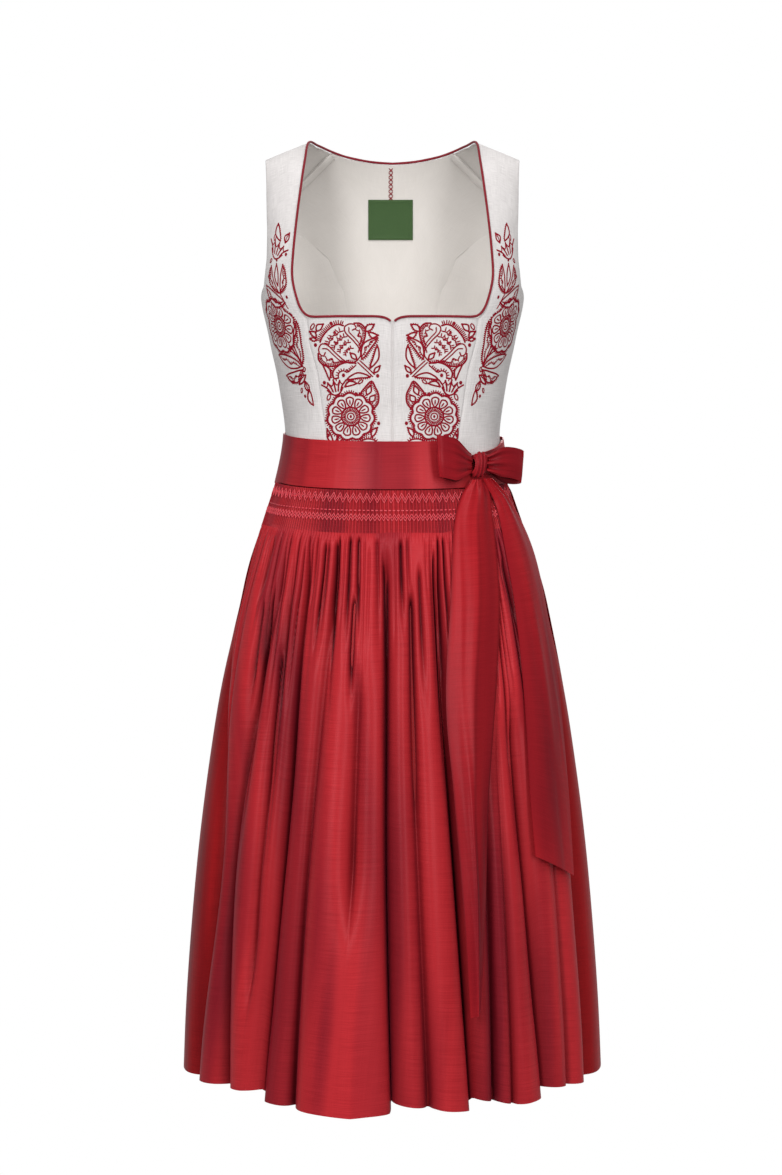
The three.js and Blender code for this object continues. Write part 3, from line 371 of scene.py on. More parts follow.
class Nodes:
    """Short hand for a material's nodes."""

    def __init__(self, name):
        self.material = bpy.data.materials.new(name)
        self.material.use_nodes = True
        self.tree = self.material.node_tree
        self.shader = self.tree.nodes["Principled BSDF"]

    def add(self, kind, **values):
        node = self.tree.nodes.new("ShaderNode" + kind)
        for key, value in values.items():
            if hasattr(node, key):
                setattr(node, key, value)
            else:
                node.inputs[key.replace("_", " ")].default_value = value
        return node

    def link(self, start, end):
        self.tree.links.new(start, end)

    def cloth_map(self, scale_u, scale_v):
        uv = self.add("UVMap", uv_map="cloth")
        mapping = self.add("Mapping")
        mapping.inputs["Scale"].default_value = (scale_u, scale_v, 1)
        self.link(uv.outputs["UV"], mapping.inputs["Vector"])
        return mapping.outputs["Vector"]

    def math(self, operation, first, second):
        node = self.add("Math", operation=operation)
        for socket, value in zip(node.inputs, (first, second)):
            if isinstance(value, (int, float)):
                socket.default_value = value
            else:
                self.link(value, socket)
        return node.outputs[0]

    def times(self, colour, other):
        mix = self.add("Mix", data_type="RGBA", blend_type="MULTIPLY")
        mix.inputs["Factor"].default_value = 1.0
        self.link(colour, mix.inputs["A"])
        self.link(other, mix.inputs["B"])
        return mix.outputs["Result"]

    def colours(self, factor, *stops):
        ramp = self.add("ValToRGB")
        elements = ramp.color_ramp.elements
        while len(elements) < len(stops):
            elements.new(0.5)
        for element, (place, colour) in zip(elements, stops):
            element.position = place
            element.color = (*colour, 1)
        self.link(factor, ramp.inputs["Fac"])
        return ramp.outputs["Color"]

    def bump(self, height, strength, distance):
        bump = self.add("Bump")
        bump.inputs["Strength"].default_value = strength
        bump.inputs["Distance"].default_value = distance
        self.link(height, bump.inputs["Height"])
        self.link(bump.outputs["Normal"], self.shader.inputs["Normal"])


def linen_material(name, dark, light, thread_mm=0.55):
    """Plain weave with uneven yarns: fine ribs both ways, slubs, and a little colour between them."""
    n = Nodes(name)
    threads = 1000 / thread_mm
    warp = n.add("TexNoise", Scale=1.0, Detail=2.0)
    n.link(n.cloth_map(threads, 60), warp.inputs["Vector"])
    weft = n.add("TexNoise", Scale=1.0, Detail=2.0)
    n.link(n.cloth_map(60, threads), weft.inputs["Vector"])
    weave = n.math("MULTIPLY", n.math("ADD", warp.outputs["Fac"], weft.outputs["Fac"]), 0.5)
    cloud = n.add("TexNoise", Scale=1.0, Detail=3.0)
    n.link(n.cloth_map(22, 22), cloud.inputs["Vector"])
    tone = n.math("ADD", n.math("MULTIPLY", weave, 0.75), n.math("MULTIPLY", cloud.outputs["Fac"], 0.25))
    n.link(n.colours(tone, (0.36, dark), (0.62, light)), n.shader.inputs["Base Color"])
    n.shader.inputs["Roughness"].default_value = 0.88
    n.shader.inputs["Sheen Weight"].default_value = 0.15
    n.shader.inputs["Specular IOR Level"].default_value = 0.25
    n.bump(weave, 0.55, 0.0005)
    return n.material


linen = linen_material("linen", (0.50, 0.475, 0.468), (0.70, 0.67, 0.66))
facing = linen_material("cream facing", (0.60, 0.565, 0.53), (0.69, 0.655, 0.62), 0.3)
HANDS = (("left", 1), ("right", -1))
SEAM_DIP = 1.0
SEAM_DIP_WIDTH = 1.3
CHANNEL_SEAMS = (11.0, 12.6)
CHANNEL_DIP, CHANNEL_WIDTH = 0.6, 0.55
CLOSURE_WIDTH = 0.9
LINEN_THICK = 1.1


def cloth_pull(points):
    """The linen's slight unevenness over the figure."""
    return 0.35 * np.sin(points[..., 2] / 17 + points[..., 0] / 9) * np.sin(points[..., 2] / 41 + 1)


def bodice_shape(panel, side):
    def shape(u, v):
        points = panel_points(panel, u, v)
        normal = ways_out(points)
        from_edge = np.minimum(u, 1 - u) * panel.width
        dip = SEAM_DIP * np.exp(-((from_edge / SEAM_DIP_WIDTH) ** 2))
        if panel.name == "bodice_front_centre":
            for stitched in CHANNEL_SEAMS:
                dip = dip + CHANNEL_DIP * np.exp(-(((points[..., 0] - stitched) / CHANNEL_WIDTH) ** 2))
            dip = dip + np.exp(-((points[..., 0] / CLOSURE_WIDTH) ** 2))
        points = points + normal * (cloth_pull(points) - dip)[..., None]
        return points * (side, 1, 1)
    return shape


PANEL_LENGTH = {"bodice_front_centre": 0.19, "bodice_front_side": 0.47, "bodice_back_side": 0.27,
                "bodice_back_centre": 0.36}
for panel in PANELS:
    for hand, side in HANDS:
        length = PANEL_LENGTH[panel.name]
        name = f"{panel.name}_{hand}"
        piece = cloth_sheet(f"{name}_cloth", panel.columns, panel.rows, bodice_shape(panel, side),
                            (panel.width * MM, length), [linen, facing], LINEN_THICK)
        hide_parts(name)


# ---------- Back lining ----------
# Cream cotton, cut like the back panels and sewn to them at the neck and armholes. It shows
# through the neck, with its curved seams.
lining_cloth = linen_material("cream lining", (0.62, 0.585, 0.55), (0.69, 0.655, 0.62), 0.25)
LINING_SEAT = 2.3
LINING_THICK = 0.5
LINING_TUCK, LINING_TUCK_WIDTH = 1.1, 1.2
for panel in PANELS[2:]:
    for hand, side in HANDS:
        def lining_shape(u, v, panel=panel, side=side):
            points = panel_points(panel, u, v)
            normal = ways_out(points)
            from_seam = (1 - u if panel.name == "bodice_back_centre" else u) * panel.width
            tuck = LINING_TUCK * np.exp(-((from_seam / LINING_TUCK_WIDTH) ** 2))
            return (points - normal * (LINING_SEAT - tuck)[..., None]) * (side, 1, 1)
        name = f"{panel.name.replace('bodice', 'lining')}_{hand}"
        length = PANEL_LENGTH[panel.name]
        piece = cloth_sheet(f"{name}_cloth", panel.columns // 2, panel.rows // 2, lining_shape,
                            (panel.width * MM, length), [lining_cloth], LINING_THICK)
        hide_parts(name)


# ---------- Shoulder seam allowances ----------
# The two shoulder seams' allowances, bound in the lining's cotton and felled down inside, one at
# each side of the neck.
SHOULDER_LINE = [(73, 10), (88, 25), (103, 40), (122, 55.5), (142.5, 70)]
ALLOWANCE_WIDE = 7.5
ALLOWANCE_SEAT = LINING_SEAT + 1.4
ALLOWANCE_PUFF = 1.3
ALLOWANCE_CUT = (0.092, 0.010)
for hand, side in HANDS:
    def allowance_shape(u, v, side=side):
        share = np.linspace(0, 1, len(SHOULDER_LINE))
        x = np.interp(u, share, [spot[0] for spot in SHOULDER_LINE]) - 0.7 * ALLOWANCE_WIDE * v
        drop = np.interp(u, share, [spot[1] for spot in SHOULDER_LINE]) + 0.7 * ALLOWANCE_WIDE * v
        points = bodice_point(*bodice_place(x, drop, behind=True))
        lift = ALLOWANCE_SEAT + ALLOWANCE_PUFF * np.sin(np.clip(v, 0, 1) * np.pi) ** 0.5
        return (points - ways_out(points) * lift[..., None]) * (side, 1, 1)
    piece = cloth_sheet(f"shoulder_allowance_{hand}_cloth", 40, 12, allowance_shape, ALLOWANCE_CUT,
                        [lining_cloth], -LINING_THICK)


# ---------- Embroidery ----------
# Crimson cotton thread worked on the linen of the front: a tulip head, toothed leaves, a crown bud
# and a large rosette on each centre panel, and a trailing spray on each side panel. The outlines
# are stem stitch, the fringes single stitches standing square to them, the dots satin stitch.
THREAD_DARK = (0.16, 0.0006, 0.008)
THREAD_LIGHT = (0.29, 0.002, 0.014)
thread = Nodes("crimson thread")
twist = thread.add("TexNoise", Scale=900.0, Detail=2.0)
thread.link(thread.add("TexCoord").outputs["Object"], twist.inputs["Vector"])
thread_colour = thread.colours(twist.outputs["Fac"], (0.35, THREAD_DARK), (0.65, THREAD_LIGHT))
thread.link(thread_colour, thread.shader.inputs["Base Color"])
thread.shader.inputs["Roughness"].default_value = 0.6
thread.shader.inputs["Specular IOR Level"].default_value = 0.15
Stitch = namedtuple("Stitch", "start end width height")
LINE_WIDTH = 2.05
LINE_STITCH = 2.6
STITCH_LEAN = 0.22


def curve(points, closed=False, step=0.7):
    """Even steps along a smooth curve through points given as complex numbers."""
    points = np.asarray(points, complex)
    if closed:
        points = np.concatenate([points[-1:], points, points[:2]])
    else:
        points = np.concatenate([[2 * points[0] - points[1]], points, [2 * points[-1] - points[-2]]])
    t = np.linspace(0, 1, 12, endpoint=False)
    parts = []
    for a, b, c, d in zip(points, points[1:], points[2:], points[3:]):
        square = 2 * a - 5 * b + 4 * c - d
        cube = 3 * b - a - 3 * c + d
        parts.append((2 * b + (c - a) * t + square * t**2 + cube * t**3) / 2)
    path = np.concatenate(parts + [points[-2:-1]])
    gone = np.concatenate([[0], np.cumsum(np.abs(np.diff(path)))])
    even = np.linspace(0, gone[-1], max(3, int(gone[-1] / step) + 1))
    return np.interp(even, gone, path.real) + 1j * np.interp(even, gone, path.imag)


class Needle:
    """Stitches on flat cloth, in millimetres."""

    def __init__(self):
        self.made = []

    def one(self, start, end, width=LINE_WIDTH, height=0.5):
        self.made.append(Stitch(start, end, width, height))

    def line(self, points, closed=False, width=LINE_WIDTH):
        path = curve(points, closed)
        gone = np.concatenate([[0], np.cumsum(np.abs(np.diff(path)))])
        count = max(2, round(gone[-1] / LINE_STITCH * 1.6))
        for at in np.linspace(0, gone[-1], count):
            i = min(len(path) - 2, np.searchsorted(gone, at, side="right") - 1)
            way = path[i + 1] - path[i]
            way *= np.exp(1j * STITCH_LEAN) / max(abs(way), 1e-6) * LINE_STITCH / 2
            middle = np.interp(at, gone, path.real) + 1j * np.interp(at, gone, path.imag)
            self.one(middle - way, middle + way, width)
        return path

    def teeth(self, path, tall, gap=2.5, side=1, start=0.03, end=0.97):
        gone = np.concatenate([[0], np.cumsum(np.abs(np.diff(path)))])
        for at in np.arange(start * gone[-1], end * gone[-1], gap):
            i = min(len(path) - 2, np.searchsorted(gone, at, side="right") - 1)
            way = (path[i + 1] - path[i]) / max(abs(path[i + 1] - path[i]), 1e-6)
            foot = np.interp(at, gone, path.real) + 1j * np.interp(at, gone, path.imag)
            self.one(foot, foot + way * 1j * side * tall * 1.2, 1.5, 0.45)

    def dot(self, at, size=2.1):
        for k in (-0.75, -0.25, 0.25, 0.75):
            half = size * math.sqrt(1 - k * k)
            self.one(at + complex(-half, k * size), at + complex(half, k * size), 1.5, 0.6)

    def oval(self, at, long, turn):
        way = np.exp(1j * math.radians(turn))
        angles = np.linspace(0, 6.28, 9)[:-1]
        around = [at + way * (long * math.cos(a) + 0.5j * long * math.sin(a)) for a in angles]
        self.line(around, True, 1.5)

    def leaf(self, foot, tip, plump=0.24, bend=0.0, vein=True, fringe=0):
        way = tip - foot

        def place(along, across):
            return foot + way * (along + 1j * (across + bend * math.sin(along * math.pi)))
        half = ((0, 0), (0.2, 0.65), (0.5, 1), (0.8, 0.5), (1, 0))
        for side in (1, -1):
            outline = self.line([place(a, side * plump * b) for a, b in half])
            if fringe:
                self.teeth(outline, fringe, 2.3, side)
        if vein:
            self.line([place(a, 0) for a in (0.1, 0.45, 0.75)], False, 1.4)

    def frond(self, foot, tip, plump=0.2, bend=0.0, side=1, fringe=2.0):
        """A long leaf with a fringe on one edge and a wavy line beside its vein."""
        way = tip - foot

        def place(along, across):
            return foot + way * (along + 1j * (side * across + bend * math.sin(along * math.pi)))
        fringed = ((0, 0), (0.15, 0.7), (0.45, 1.1), (0.8, 0.7), (1, 0))
        plain = ((0, 0), (0.2, 0.5), (0.5, 0.8), (0.82, 0.5), (1, 0))
        waved = ((0.1, 0), (0.3, 0.3), (0.42, -0.1), (0.58, 0.35), (0.72, -0.05), (0.88, 0.1))
        outer = self.line([place(a, plump * b) for a, b in fringed])
        self.teeth(outer, fringe, 2.2, side, 0.03, 0.95)
        self.line([place(a, -plump * b) for a, b in plain])
        if plump * abs(way) > 4:
            wave = self.line([place(a, plump * b) for a, b in waved], False, 1.4)
            self.teeth(wave, 1.8, 2.4, side, 0.1, 0.9)

    def bud(self, foot, tip, petals=4):
        """A crown bud: pointed petals standing side by side in a cup."""
        way = tip - foot
        for k in range(petals + 1):
            lean = 2 * k / petals - 1
            top = foot + way * complex(1.05 - 0.12 * abs(lean), lean * 0.95)
            self.line([foot + way * complex(0.28, lean * 0.42), foot + way * complex(0.6, lean * 0.6), top])
            if k < petals:
                dip = foot + way * complex(0.72, (lean + 1 / petals) * 0.82)
                beyond = lean + 2 / petals
                after = foot + way * complex(1.05 - 0.12 * abs(beyond), beyond * 0.95)
                self.line([top, dip, after], False, 1.5)
        self.line([foot + way * complex(0.42, 0.6), foot + way * complex(0.1, 0.34), foot - way * 0.06,
                   foot + way * complex(0.1, -0.34), foot + way * complex(0.42, -0.6)])

    def rosette(self, middle, size, petals, turn=0.0, tall=1.0):
        """A round flower: fringed wavy rim, looped petals each with a bar, a ring of rays, a seed."""
        def place(radius, angle):
            way = np.exp(1j * (np.asarray(angle) + turn))
            return middle + size * radius * (way.real + 1j * tall * way.imag)
        angles = np.linspace(0, 2 * np.pi, 8 * petals + 1)[:-1]
        wave = np.abs(np.cos(petals * angles / 2))
        rim = self.line(place(0.90 + 0.09 * wave, angles), True, 2.3)
        self.teeth(rim, 2.6, 2.0, -1, 0, 1)
        self.teeth(rim, 1.2, 2.0, 1, 0, 1)
        petal = [
            (0.42, -0.3), (0.56, -0.72), (0.74, -0.66), (0.80, 0), (0.74, 0.66), (0.56, 0.72), (0.42, 0.3),
        ]
        wide = math.pi / petals
        for k in range(petals):
            at = 2 * math.pi * k / petals
            self.line([place(r, at + wide * a) for r, a in petal], False, 1.9)
            self.one(place(0.50, at), place(0.69, at), 1.8, 0.55)
        ring = np.linspace(0, 2 * np.pi, 17)[:-1]
        inner = self.line(place(0.38, ring), True)
        self.teeth(inner, size * 0.15, 2.2, 1, 0, 1)
        self.line(place(0.14, ring[::2]), True, 1.6)
        self.dot(place(0, 0.0), size * 0.05)

    def tulip(self, foot, tip):
        """A tulip head: a middle petal in fringed rows between two petals that roll outwards."""
        way = tip - foot

        def place(along, across):
            return foot + way * complex(along, across)
        roll = [
            (0.0, 0.02), (0.03, 0.14), (0.16, 0.23), (0.42, 0.26), (0.68, 0.26),
            (0.8, 0.34), (0.78, 0.47), (0.68, 0.55), (0.59, 0.52), (0.61, 0.44),
        ]
        under_roll = [(0.13, 0.16), (0.22, 0.3), (0.43, 0.33), (0.63, 0.335), (0.71, 0.4)]
        outside = [(0.16, 0.27), (0.23, 0.45), (0.33, 0.6), (0.46, 0.68), (0.6, 0.67), (0.7, 0.58)]
        crease = [(0.26, 0.36), (0.33, 0.45), (0.42, 0.42), (0.46, 0.52), (0.54, 0.5)]
        for side, long in ((1, 1.1), (-1, 0.98)):
            def rolled(spots, side=side, long=long):
                return [place(a * long, side * b) for a, b in spots]
            self.line(rolled(roll), False, 1.7)
            self.line(rolled(under_roll), False, 1.5)
            back = self.line(rolled(outside))
            self.teeth(back, 3.4, 2.1, -side, 0.05, 0.95)
            fold = self.line(rolled(crease), False, 1.5)
            self.teeth(fold, 1.7, 2.3, side, 0.1, 0.9)
        crown = self.line([place(0.95, 0.33), place(1.0, 0.2), place(1.02, 0.02), place(1.0, -0.16),
                           place(0.94, -0.28), place(0.84, -0.34)], False, 2.1)
        self.teeth(crown, 4.2, 1.9, 1, 0.02, 0.98)
        wave = [(-0.05, 1), (0.0, 0.6), (-0.02, 0.3), (0.03, 0), (-0.02, -0.3), (0.0, -0.6), (-0.05, -1)]
        fringes = ((0.80, 0.24, 4.4), (0.64, 0.21, 3.8), (0.48, 0.17, 3.2), (0.33, 0.12, 2.6))
        for along, wide, tall in fringes:
            bar = self.line([place(along + a, wide * b) for a, b in wave], False, 1.5)
            self.teeth(bar, tall, 2.1, 1, 0.04, 0.96)
        self.leaf(place(0.03, 0), place(0.24, 0), 0.26, 0, False)


def worked_front():
    """The centre front, as distance from the middle and drop."""
    n = Needle()
    n.tulip(39 + 245.5j, 71 + 213j)
    n.frond(34 + 244j, 16.5 + 221j, 0.17, 0.16, -1, 2.2)
    n.frond(24.5 + 254j, 17 + 229j, 0.12, -0.12, 1, 1.7)
    n.leaf(30 + 213.5j, 20.5 + 206j, 0.26, 0.05, False, 1.3)
    n.leaf(26.5 + 215j, 16 + 218j, 0.24, -0.16, False, 1.2)
    over = n.line([41 + 249j, 48 + 248j, 56 + 249.5j, 63 + 254j, 66.5 + 260j, 65 + 266j, 60.5 + 265.5j])
    n.teeth(over, 2.6, 2.1, -1)
    under = n.line([60.5 + 265.5j, 59.5 + 260j, 55 + 257.5j, 50 + 259j, 46 + 256j, 41 + 251.5j], False, 1.6)
    n.teeth(under, 2.6, 2.2, 1, 0.1, 0.9)
    n.line([38 + 248.5j, 30 + 256j, 22.5 + 263.5j], False, 1.6)
    n.line([35.5 + 246.5j, 28 + 253.5j, 20.5 + 261j], False, 1.6)
    n.leaf(20.5 + 259.5j, 14 + 252j, 0.22, 0, False)
    n.frond(25 + 264j, 51 + 267.5j, 0.12, -0.14, 1, 1.5)
    n.leaf(84.5 + 213.5j, 77 + 206j, 0.3, 0.1, False)
    n.leaf(85 + 220.5j, 92 + 214j, 0.26, -0.1, False, 1.2)
    n.leaf(84.5 + 223.5j, 91.5 + 222j, 0.26, 0, False, 1.0)
    n.oval(89 + 208.5j, 3.4, 60)
    n.frond(77.5 + 251j, 70.5 + 267.5j, 0.15, 0.12, 1, 1.6)
    n.bud(62.5 + 284j, 65.5 + 270j)
    n.frond(52.5 + 275j, 40 + 271.5j, 0.2, 0.12, 1, 1.3)
    n.oval(35.5 + 269.5j, 2.9, 40)
    n.oval(71 + 287j, 3.4, 70)
    for spot in (68 + 205j, 85.5 + 229j, 54.5 + 262.5j, 76 + 271j, 16.5 + 263j, 15.5 + 316j, 72 + 330j):
        n.dot(spot, 1.9)
    n.rosette(46.5 + 308.5j, 27.0, 11, 0.2)
    hood = [36 + 283j, 31.5 + 277j, 23.5 + 269j, 19 + 276j, 15.5 + 284j, 16 + 293j, 20 + 299j]
    crest = n.line(hood, False, 2.0)
    n.teeth(crest, 2.4, 2.0, -1, 0, 1)
    n.leaf(28.5 + 284j, 24 + 274j, 0.26, 0, False)
    n.leaf(25 + 292j, 19.5 + 284.5j, 0.34, 0, False)
    n.leaf(66 + 340j, 73 + 323j, 0.13, 0.06, False)
    for tip in (61 + 331j, 56 + 334j):
        n.leaf(66 + 345j, tip, 0.10, -0.05, False)
    n.leaf(23 + 331j, 17 + 321j, 0.22, 0.1, False, 1.2)
    low = n.line([40 + 342j, 35 + 336j, 28 + 333.5j, 20 + 335j, 16 + 341j], False, 2.0)
    n.teeth(low, 2.6, 2.1, 1, 0, 1)
    return n.made


def worked_side():
    """The side front, as distance from its inner edge along the cloth and drop."""
    n = Needle()
    n.frond(20.5 + 113j, 25 + 94j, 0.2, 0.16, -1, 1.3)
    n.oval(29.5 + 109j, 3.2, 80)
    n.leaf(12 + 115j, 7 + 105j, 0.3, 0.08)
    n.bud(28 + 132j, 21.5 + 116.5j)
    n.dot(9.5 + 128.5j, 1.8)
    n.oval(36 + 135j, 2.6, 50)
    n.frond(22.5 + 171j, 13.5 + 140j, 0.15, -0.14, -1, 1.7)
    n.frond(25.5 + 171j, 35 + 141j, 0.15, 0.14, 1, 1.7)
    n.leaf(24 + 163j, 24.5 + 139j, 0.14, 0, False)
    n.dot(24.5 + 134.5j, 1.6)
    n.line([24 + 171j, 20 + 179j, 16.5 + 188j], False, 1.7)
    n.frond(18.5 + 182j, 50 + 163j, 0.24, 0.14, 1, 2.0)
    n.dot(41 + 153j, 1.7)
    n.dot(13.5 + 176j, 1.7)
    n.rosette(44 + 208j, 28.5, 11, 0.1, 1.08)
    n.dot(17 + 195j, 1.8)
    n.frond(17 + 250j, 14 + 203j, 0.13, 0.06, -1, 1.8)
    for start in (31 + 229j, 27 + 232j, 35 + 233j):
        n.line([start, 22 + 243j, 17 + 253j], False, 1.8)
    n.frond(19 + 253j, 59 + 241j, 0.17, 0.06, -1, 1.8)
    n.frond(19 + 257j, 50 + 264j, 0.2, 0.14, 1, 1.8)
    n.oval(16 + 256.5j, 2.6, 60)
    n.oval(37 + 271j, 2.7, 20)
    n.leaf(27 + 273j, 15.5 + 263j, 0.26, 0.1, True, 1.2)
    n.leaf(14.5 + 281j, 17.5 + 270j, 0.26, 0.0, True, 1.1)
    n.oval(24.5 + 280j, 2.5, 70)
    n.dot(20.5 + 286.5j, 1.7)
    n.frond(10.5 + 296j, 13 + 280j, 0.2, 0.1, 1, 1.3)
    return n.made


def front_cloth(x, drop):
    return bodice_point(*bodice_place(x, drop))


SIDE_DROPS = np.linspace(96, 340, 62)
side_edge = edge((FRONT_PRINCESS, 10), (NECK_FRONT, 12))(np.linspace(0, 1, 400))
side_edge_drops = -bodice_point(*side_edge)[:, 2]
side_order = np.argsort(side_edge_drops)
side_starts = np.interp(SIDE_DROPS, side_edge_drops[side_order], side_edge[0][side_order])
SIDE_TURNS = np.array([np.linspace(start, 90, 50) for start in side_starts])


def reach_at(turn, drop):
    """The reach that lies at a drop on the front, above the full depth too."""
    x = half_at(drop) * np.sin(np.radians(turn)) ** (2 / square_at(drop))
    start = ridge_drop(x)
    upper = np.sqrt(np.clip((drop - start) / (FULL_DEPTH_DROP - start), 0, 1))
    return np.where(drop < FULL_DEPTH_DROP, upper, drop / FULL_DEPTH_DROP)


side_rows = bodice_point(SIDE_TURNS, reach_at(SIDE_TURNS, SIDE_DROPS[:, None]))
side_steps = np.linalg.norm(np.diff(side_rows, axis=1), axis=2)
SIDE_ARCS = np.concatenate([np.zeros((len(SIDE_DROPS), 1)), np.cumsum(side_steps, axis=1)], axis=1)


def side_cloth(across, drop):
    across, drop = np.broadcast_arrays(np.asarray(across, float), np.asarray(drop, float))
    flat_across, flat_drop = across.ravel(), drop.ravel()
    place = np.interp(flat_drop, SIDE_DROPS, np.arange(len(SIDE_DROPS)))
    row = np.clip(place.astype(int), 0, len(SIDE_DROPS) - 2)
    part = place - row
    turn = np.empty_like(flat_across)
    for k, (r, t) in enumerate(zip(row, part)):
        arcs = SIDE_ARCS[r] * (1 - t) + SIDE_ARCS[r + 1] * t
        turns = SIDE_TURNS[r] * (1 - t) + SIDE_TURNS[r + 1] * t
        turn[k] = np.interp(flat_across[k], arcs, turns)
    return bodice_point(turn, reach_at(turn, flat_drop)).reshape(across.shape + (3,))


def thread_piece(name, stitches, surface, side, material, seat=0.0, face=1):
    """Every stitch as a low rounded ridge on a surface given in flat coordinates, on its outer
    face or, with face -1, its inner one."""
    start = np.array([s.start for s in stitches])
    end = np.array([s.end for s in stitches])
    half = np.array([s.width for s in stitches]) / 2
    tall = np.array([s.height for s in stitches])
    way = (end - start) / np.maximum(np.abs(end - start), 1e-6)
    flat, height = [], []
    for along, wide, high in ((0, 0.7, 0.3), (0.5, 1.0, 1.0), (1, 0.7, 0.3)):
        middle = start + (end - start) * along
        for across, top in ((1, 0), (0, 1), (-1, 0)):
            flat.append(middle + way * 1j * half * wide * across)
            height.append(tall * high * top + 0.02)
    flat, height = np.stack(flat, 1), np.stack(height, 1)
    x, y = flat.real, flat.imag
    at = surface(x, y)
    step = 0.4
    normal = np.cross(surface(x + step, y) - at, surface(x, y + step) - at)
    normal /= np.linalg.norm(normal, axis=-1, keepdims=True)
    flip = np.sign(np.sum(normal[..., :2] * at[..., :2], axis=-1, keepdims=True))
    pull = cloth_pull(at) if face > 0 else 0
    points = at + normal * flip * face * (height + pull + seat)[..., None]
    points = points * (side, 1, 1) * MM
    quads = np.array([[0, 1, 4, 3], [1, 2, 5, 4], [3, 4, 7, 6], [4, 5, 8, 7]])
    faces = (np.arange(len(stitches))[:, None, None] * 9 + quads).reshape(-1, 4)
    mesh = bpy.data.meshes.new(name)
    mesh.from_pydata(points.reshape(-1, 3).tolist(), [], faces.tolist())
    first = mesh.polygons[0]
    outwards = Vector((points[0, 4] - (points[0, 3] + points[0, 5]) / 2))
    if first.normal.dot(outwards) < 0:
        mesh.flip_normals()
    mesh.polygons.foreach_set("use_smooth", np.ones(len(mesh.polygons), bool))
    mesh.materials.append(material)
    mesh.update()
    piece = bpy.data.objects.new(name, mesh)
    bpy.context.scene.collection.objects.link(piece)
    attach(piece, "root")
    return piece


WORKED = (("front", worked_front(), front_cloth), ("side", worked_side(), side_cloth))
THREAD_SEAT = 0.05
for hand, side in HANDS:
    for part, stitches, surface in WORKED:
        worked = thread_piece(f"embroidery_{part}_{hand}", stitches, surface, side, thread.material,
                              THREAD_SEAT)


# ---------- Cross stitch ----------
# A column of crosses in the same crimson thread, worked on the lining down the centre back from
# the neck to the label.
CROSSES = 7
CROSS_X = -2.0
CROSS_TOP, CROSS_PITCH = 28, 5.4
CROSS_ARM = 2.7 + 2.4j
cross = Needle()
for k in range(CROSSES):
    middle = CROSS_X + 1j * (CROSS_TOP + CROSS_PITCH * k)
    cross.one(middle - CROSS_ARM, middle + CROSS_ARM, 1.25, 0.6)
    cross.one(middle - CROSS_ARM.conjugate(), middle + CROSS_ARM.conjugate(), 1.25, 0.8)


def lining_cloth_place(x, drop):
    points = bodice_point(*bodice_place(np.abs(x), drop, behind=True))
    points[..., 0] *= np.sign(x)
    return points


crosses = thread_piece("lining_cross_stitch", cross.made, lining_cloth_place, 1, thread.material,
                       LINING_SEAT + 1.3, -1)


# ---------- Skirt ----------
# Dark red shot taffeta, two widths seamed at the sides and gathered to the waist. It hangs in
# long folds that start in the gathers and deepen to the hem.
SKIRT_TOP = 386.3
MEAN_HEM = 1070
FOLD_TOP, FOLD_MID = 520, 780
FOLD_STARTS_OVER, FOLD_ENDS_OVER = 70, 120
FOLD_REACH = 7
STEEPEST = 2.4
VALLEY_ROUND = 0.35
SLIT_SHARE, SLIT_WIDTH = 0.22, 0.3
LEAN_AT, LEAN_WIDTH = 0.8, 0.9
SHARE_OF_SPACE = 0.34
Hem = namedtuple("Hem", "angle drop")
HEM = [
    Hem(-180, 1066), Hem(-140, 1071), Hem(-110, 1064), Hem(-75, 1066), Hem(-45, 1060), Hem(-39, 1057),
    Hem(-36, 1070), Hem(-11, 1077), Hem(-4, 1074), Hem(-1, 1061), Hem(12, 1069), Hem(20, 1076),
    Hem(23, 1061), Hem(37, 1073), Hem(44, 1071), Hem(47, 1060), Hem(66, 1066), Hem(100, 1062),
    Hem(140, 1070), Hem(180, 1066),
]
Fold = namedtuple("Fold", "top mid hem start end depth width lean")
FOLDS = [
    Fold(-168, -166, -167, 450, 1200, 34, 13, 0),
    Fold(-152, -150, -154, 430, 1200, 30, 12, 9),
    Fold(-138, -140, -139, 520, 1200, 24, 10, 0),
    Fold(-125, -127, -125, 440, 1200, 32, 12, -9),
    Fold(-111, -112, -112, 560, 1200, 26, 11, 0),
    Fold(-97, -97, -98, 470, 1200, 20, 10, 0),
    Fold(-83, -66, -72, 470, 1200, 26, 12, 0),
    Fold(-48, -56, -54, 440, 1200, 24, 11, 0),
    Fold(-42, -43, -44, 440, 1010, 16, 8, 0),
    Fold(-34, -34, -37, 440, 1200, 36, 13, 14),
    Fold(-22, -26, -29, 430, 1200, 20, 9, 0),
    Fold(-11, -12, -13, 560, 900, 26, 9, 0),
    Fold(-2.5, -3, -2, 430, 1200, 34, 12, -14),
    Fold(6.5, 7.5, 10, 470, 1200, 18, 9, 0),
    Fold(16, 18, 21, 440, 1200, 34, 13, -14),
    Fold(27, 29, 30, 580, 1200, 20, 9, 0),
    Fold(36, 35, 36, 620, 1200, 16, 8, 0),
    Fold(43, 42, 46, 600, 1200, 34, 12, -13),
    Fold(58, 56, 58, 640, 1200, 12, 10, 0),
    Fold(78, 70, 71, 500, 1200, 26, 12, 0),
    Fold(96, 95, 97, 470, 1200, 20, 10, 0),
    Fold(110, 111, 110, 540, 1200, 28, 12, 0),
    Fold(123, 124, 126, 440, 1200, 32, 12, 9),
    Fold(137, 138, 137, 560, 1200, 22, 10, 0),
    Fold(151, 150, 153, 430, 1200, 32, 13, -9),
    Fold(165, 166, 167, 520, 1200, 26, 11, 0),
    Fold(178.5, 179, 179.5, 450, 1200, 20, 9, 0),
]
RIGHT_EDGE_FOLD = FOLDS[6]
LEFT_EDGE_FOLD = FOLDS[19]


def wrap(angle):
    return (angle + 180) % 360 - 180


def smoothstep(at, start, end):
    t = np.clip((at - start) / (end - start), 0, 1)
    return t * t * (3 - 2 * t)


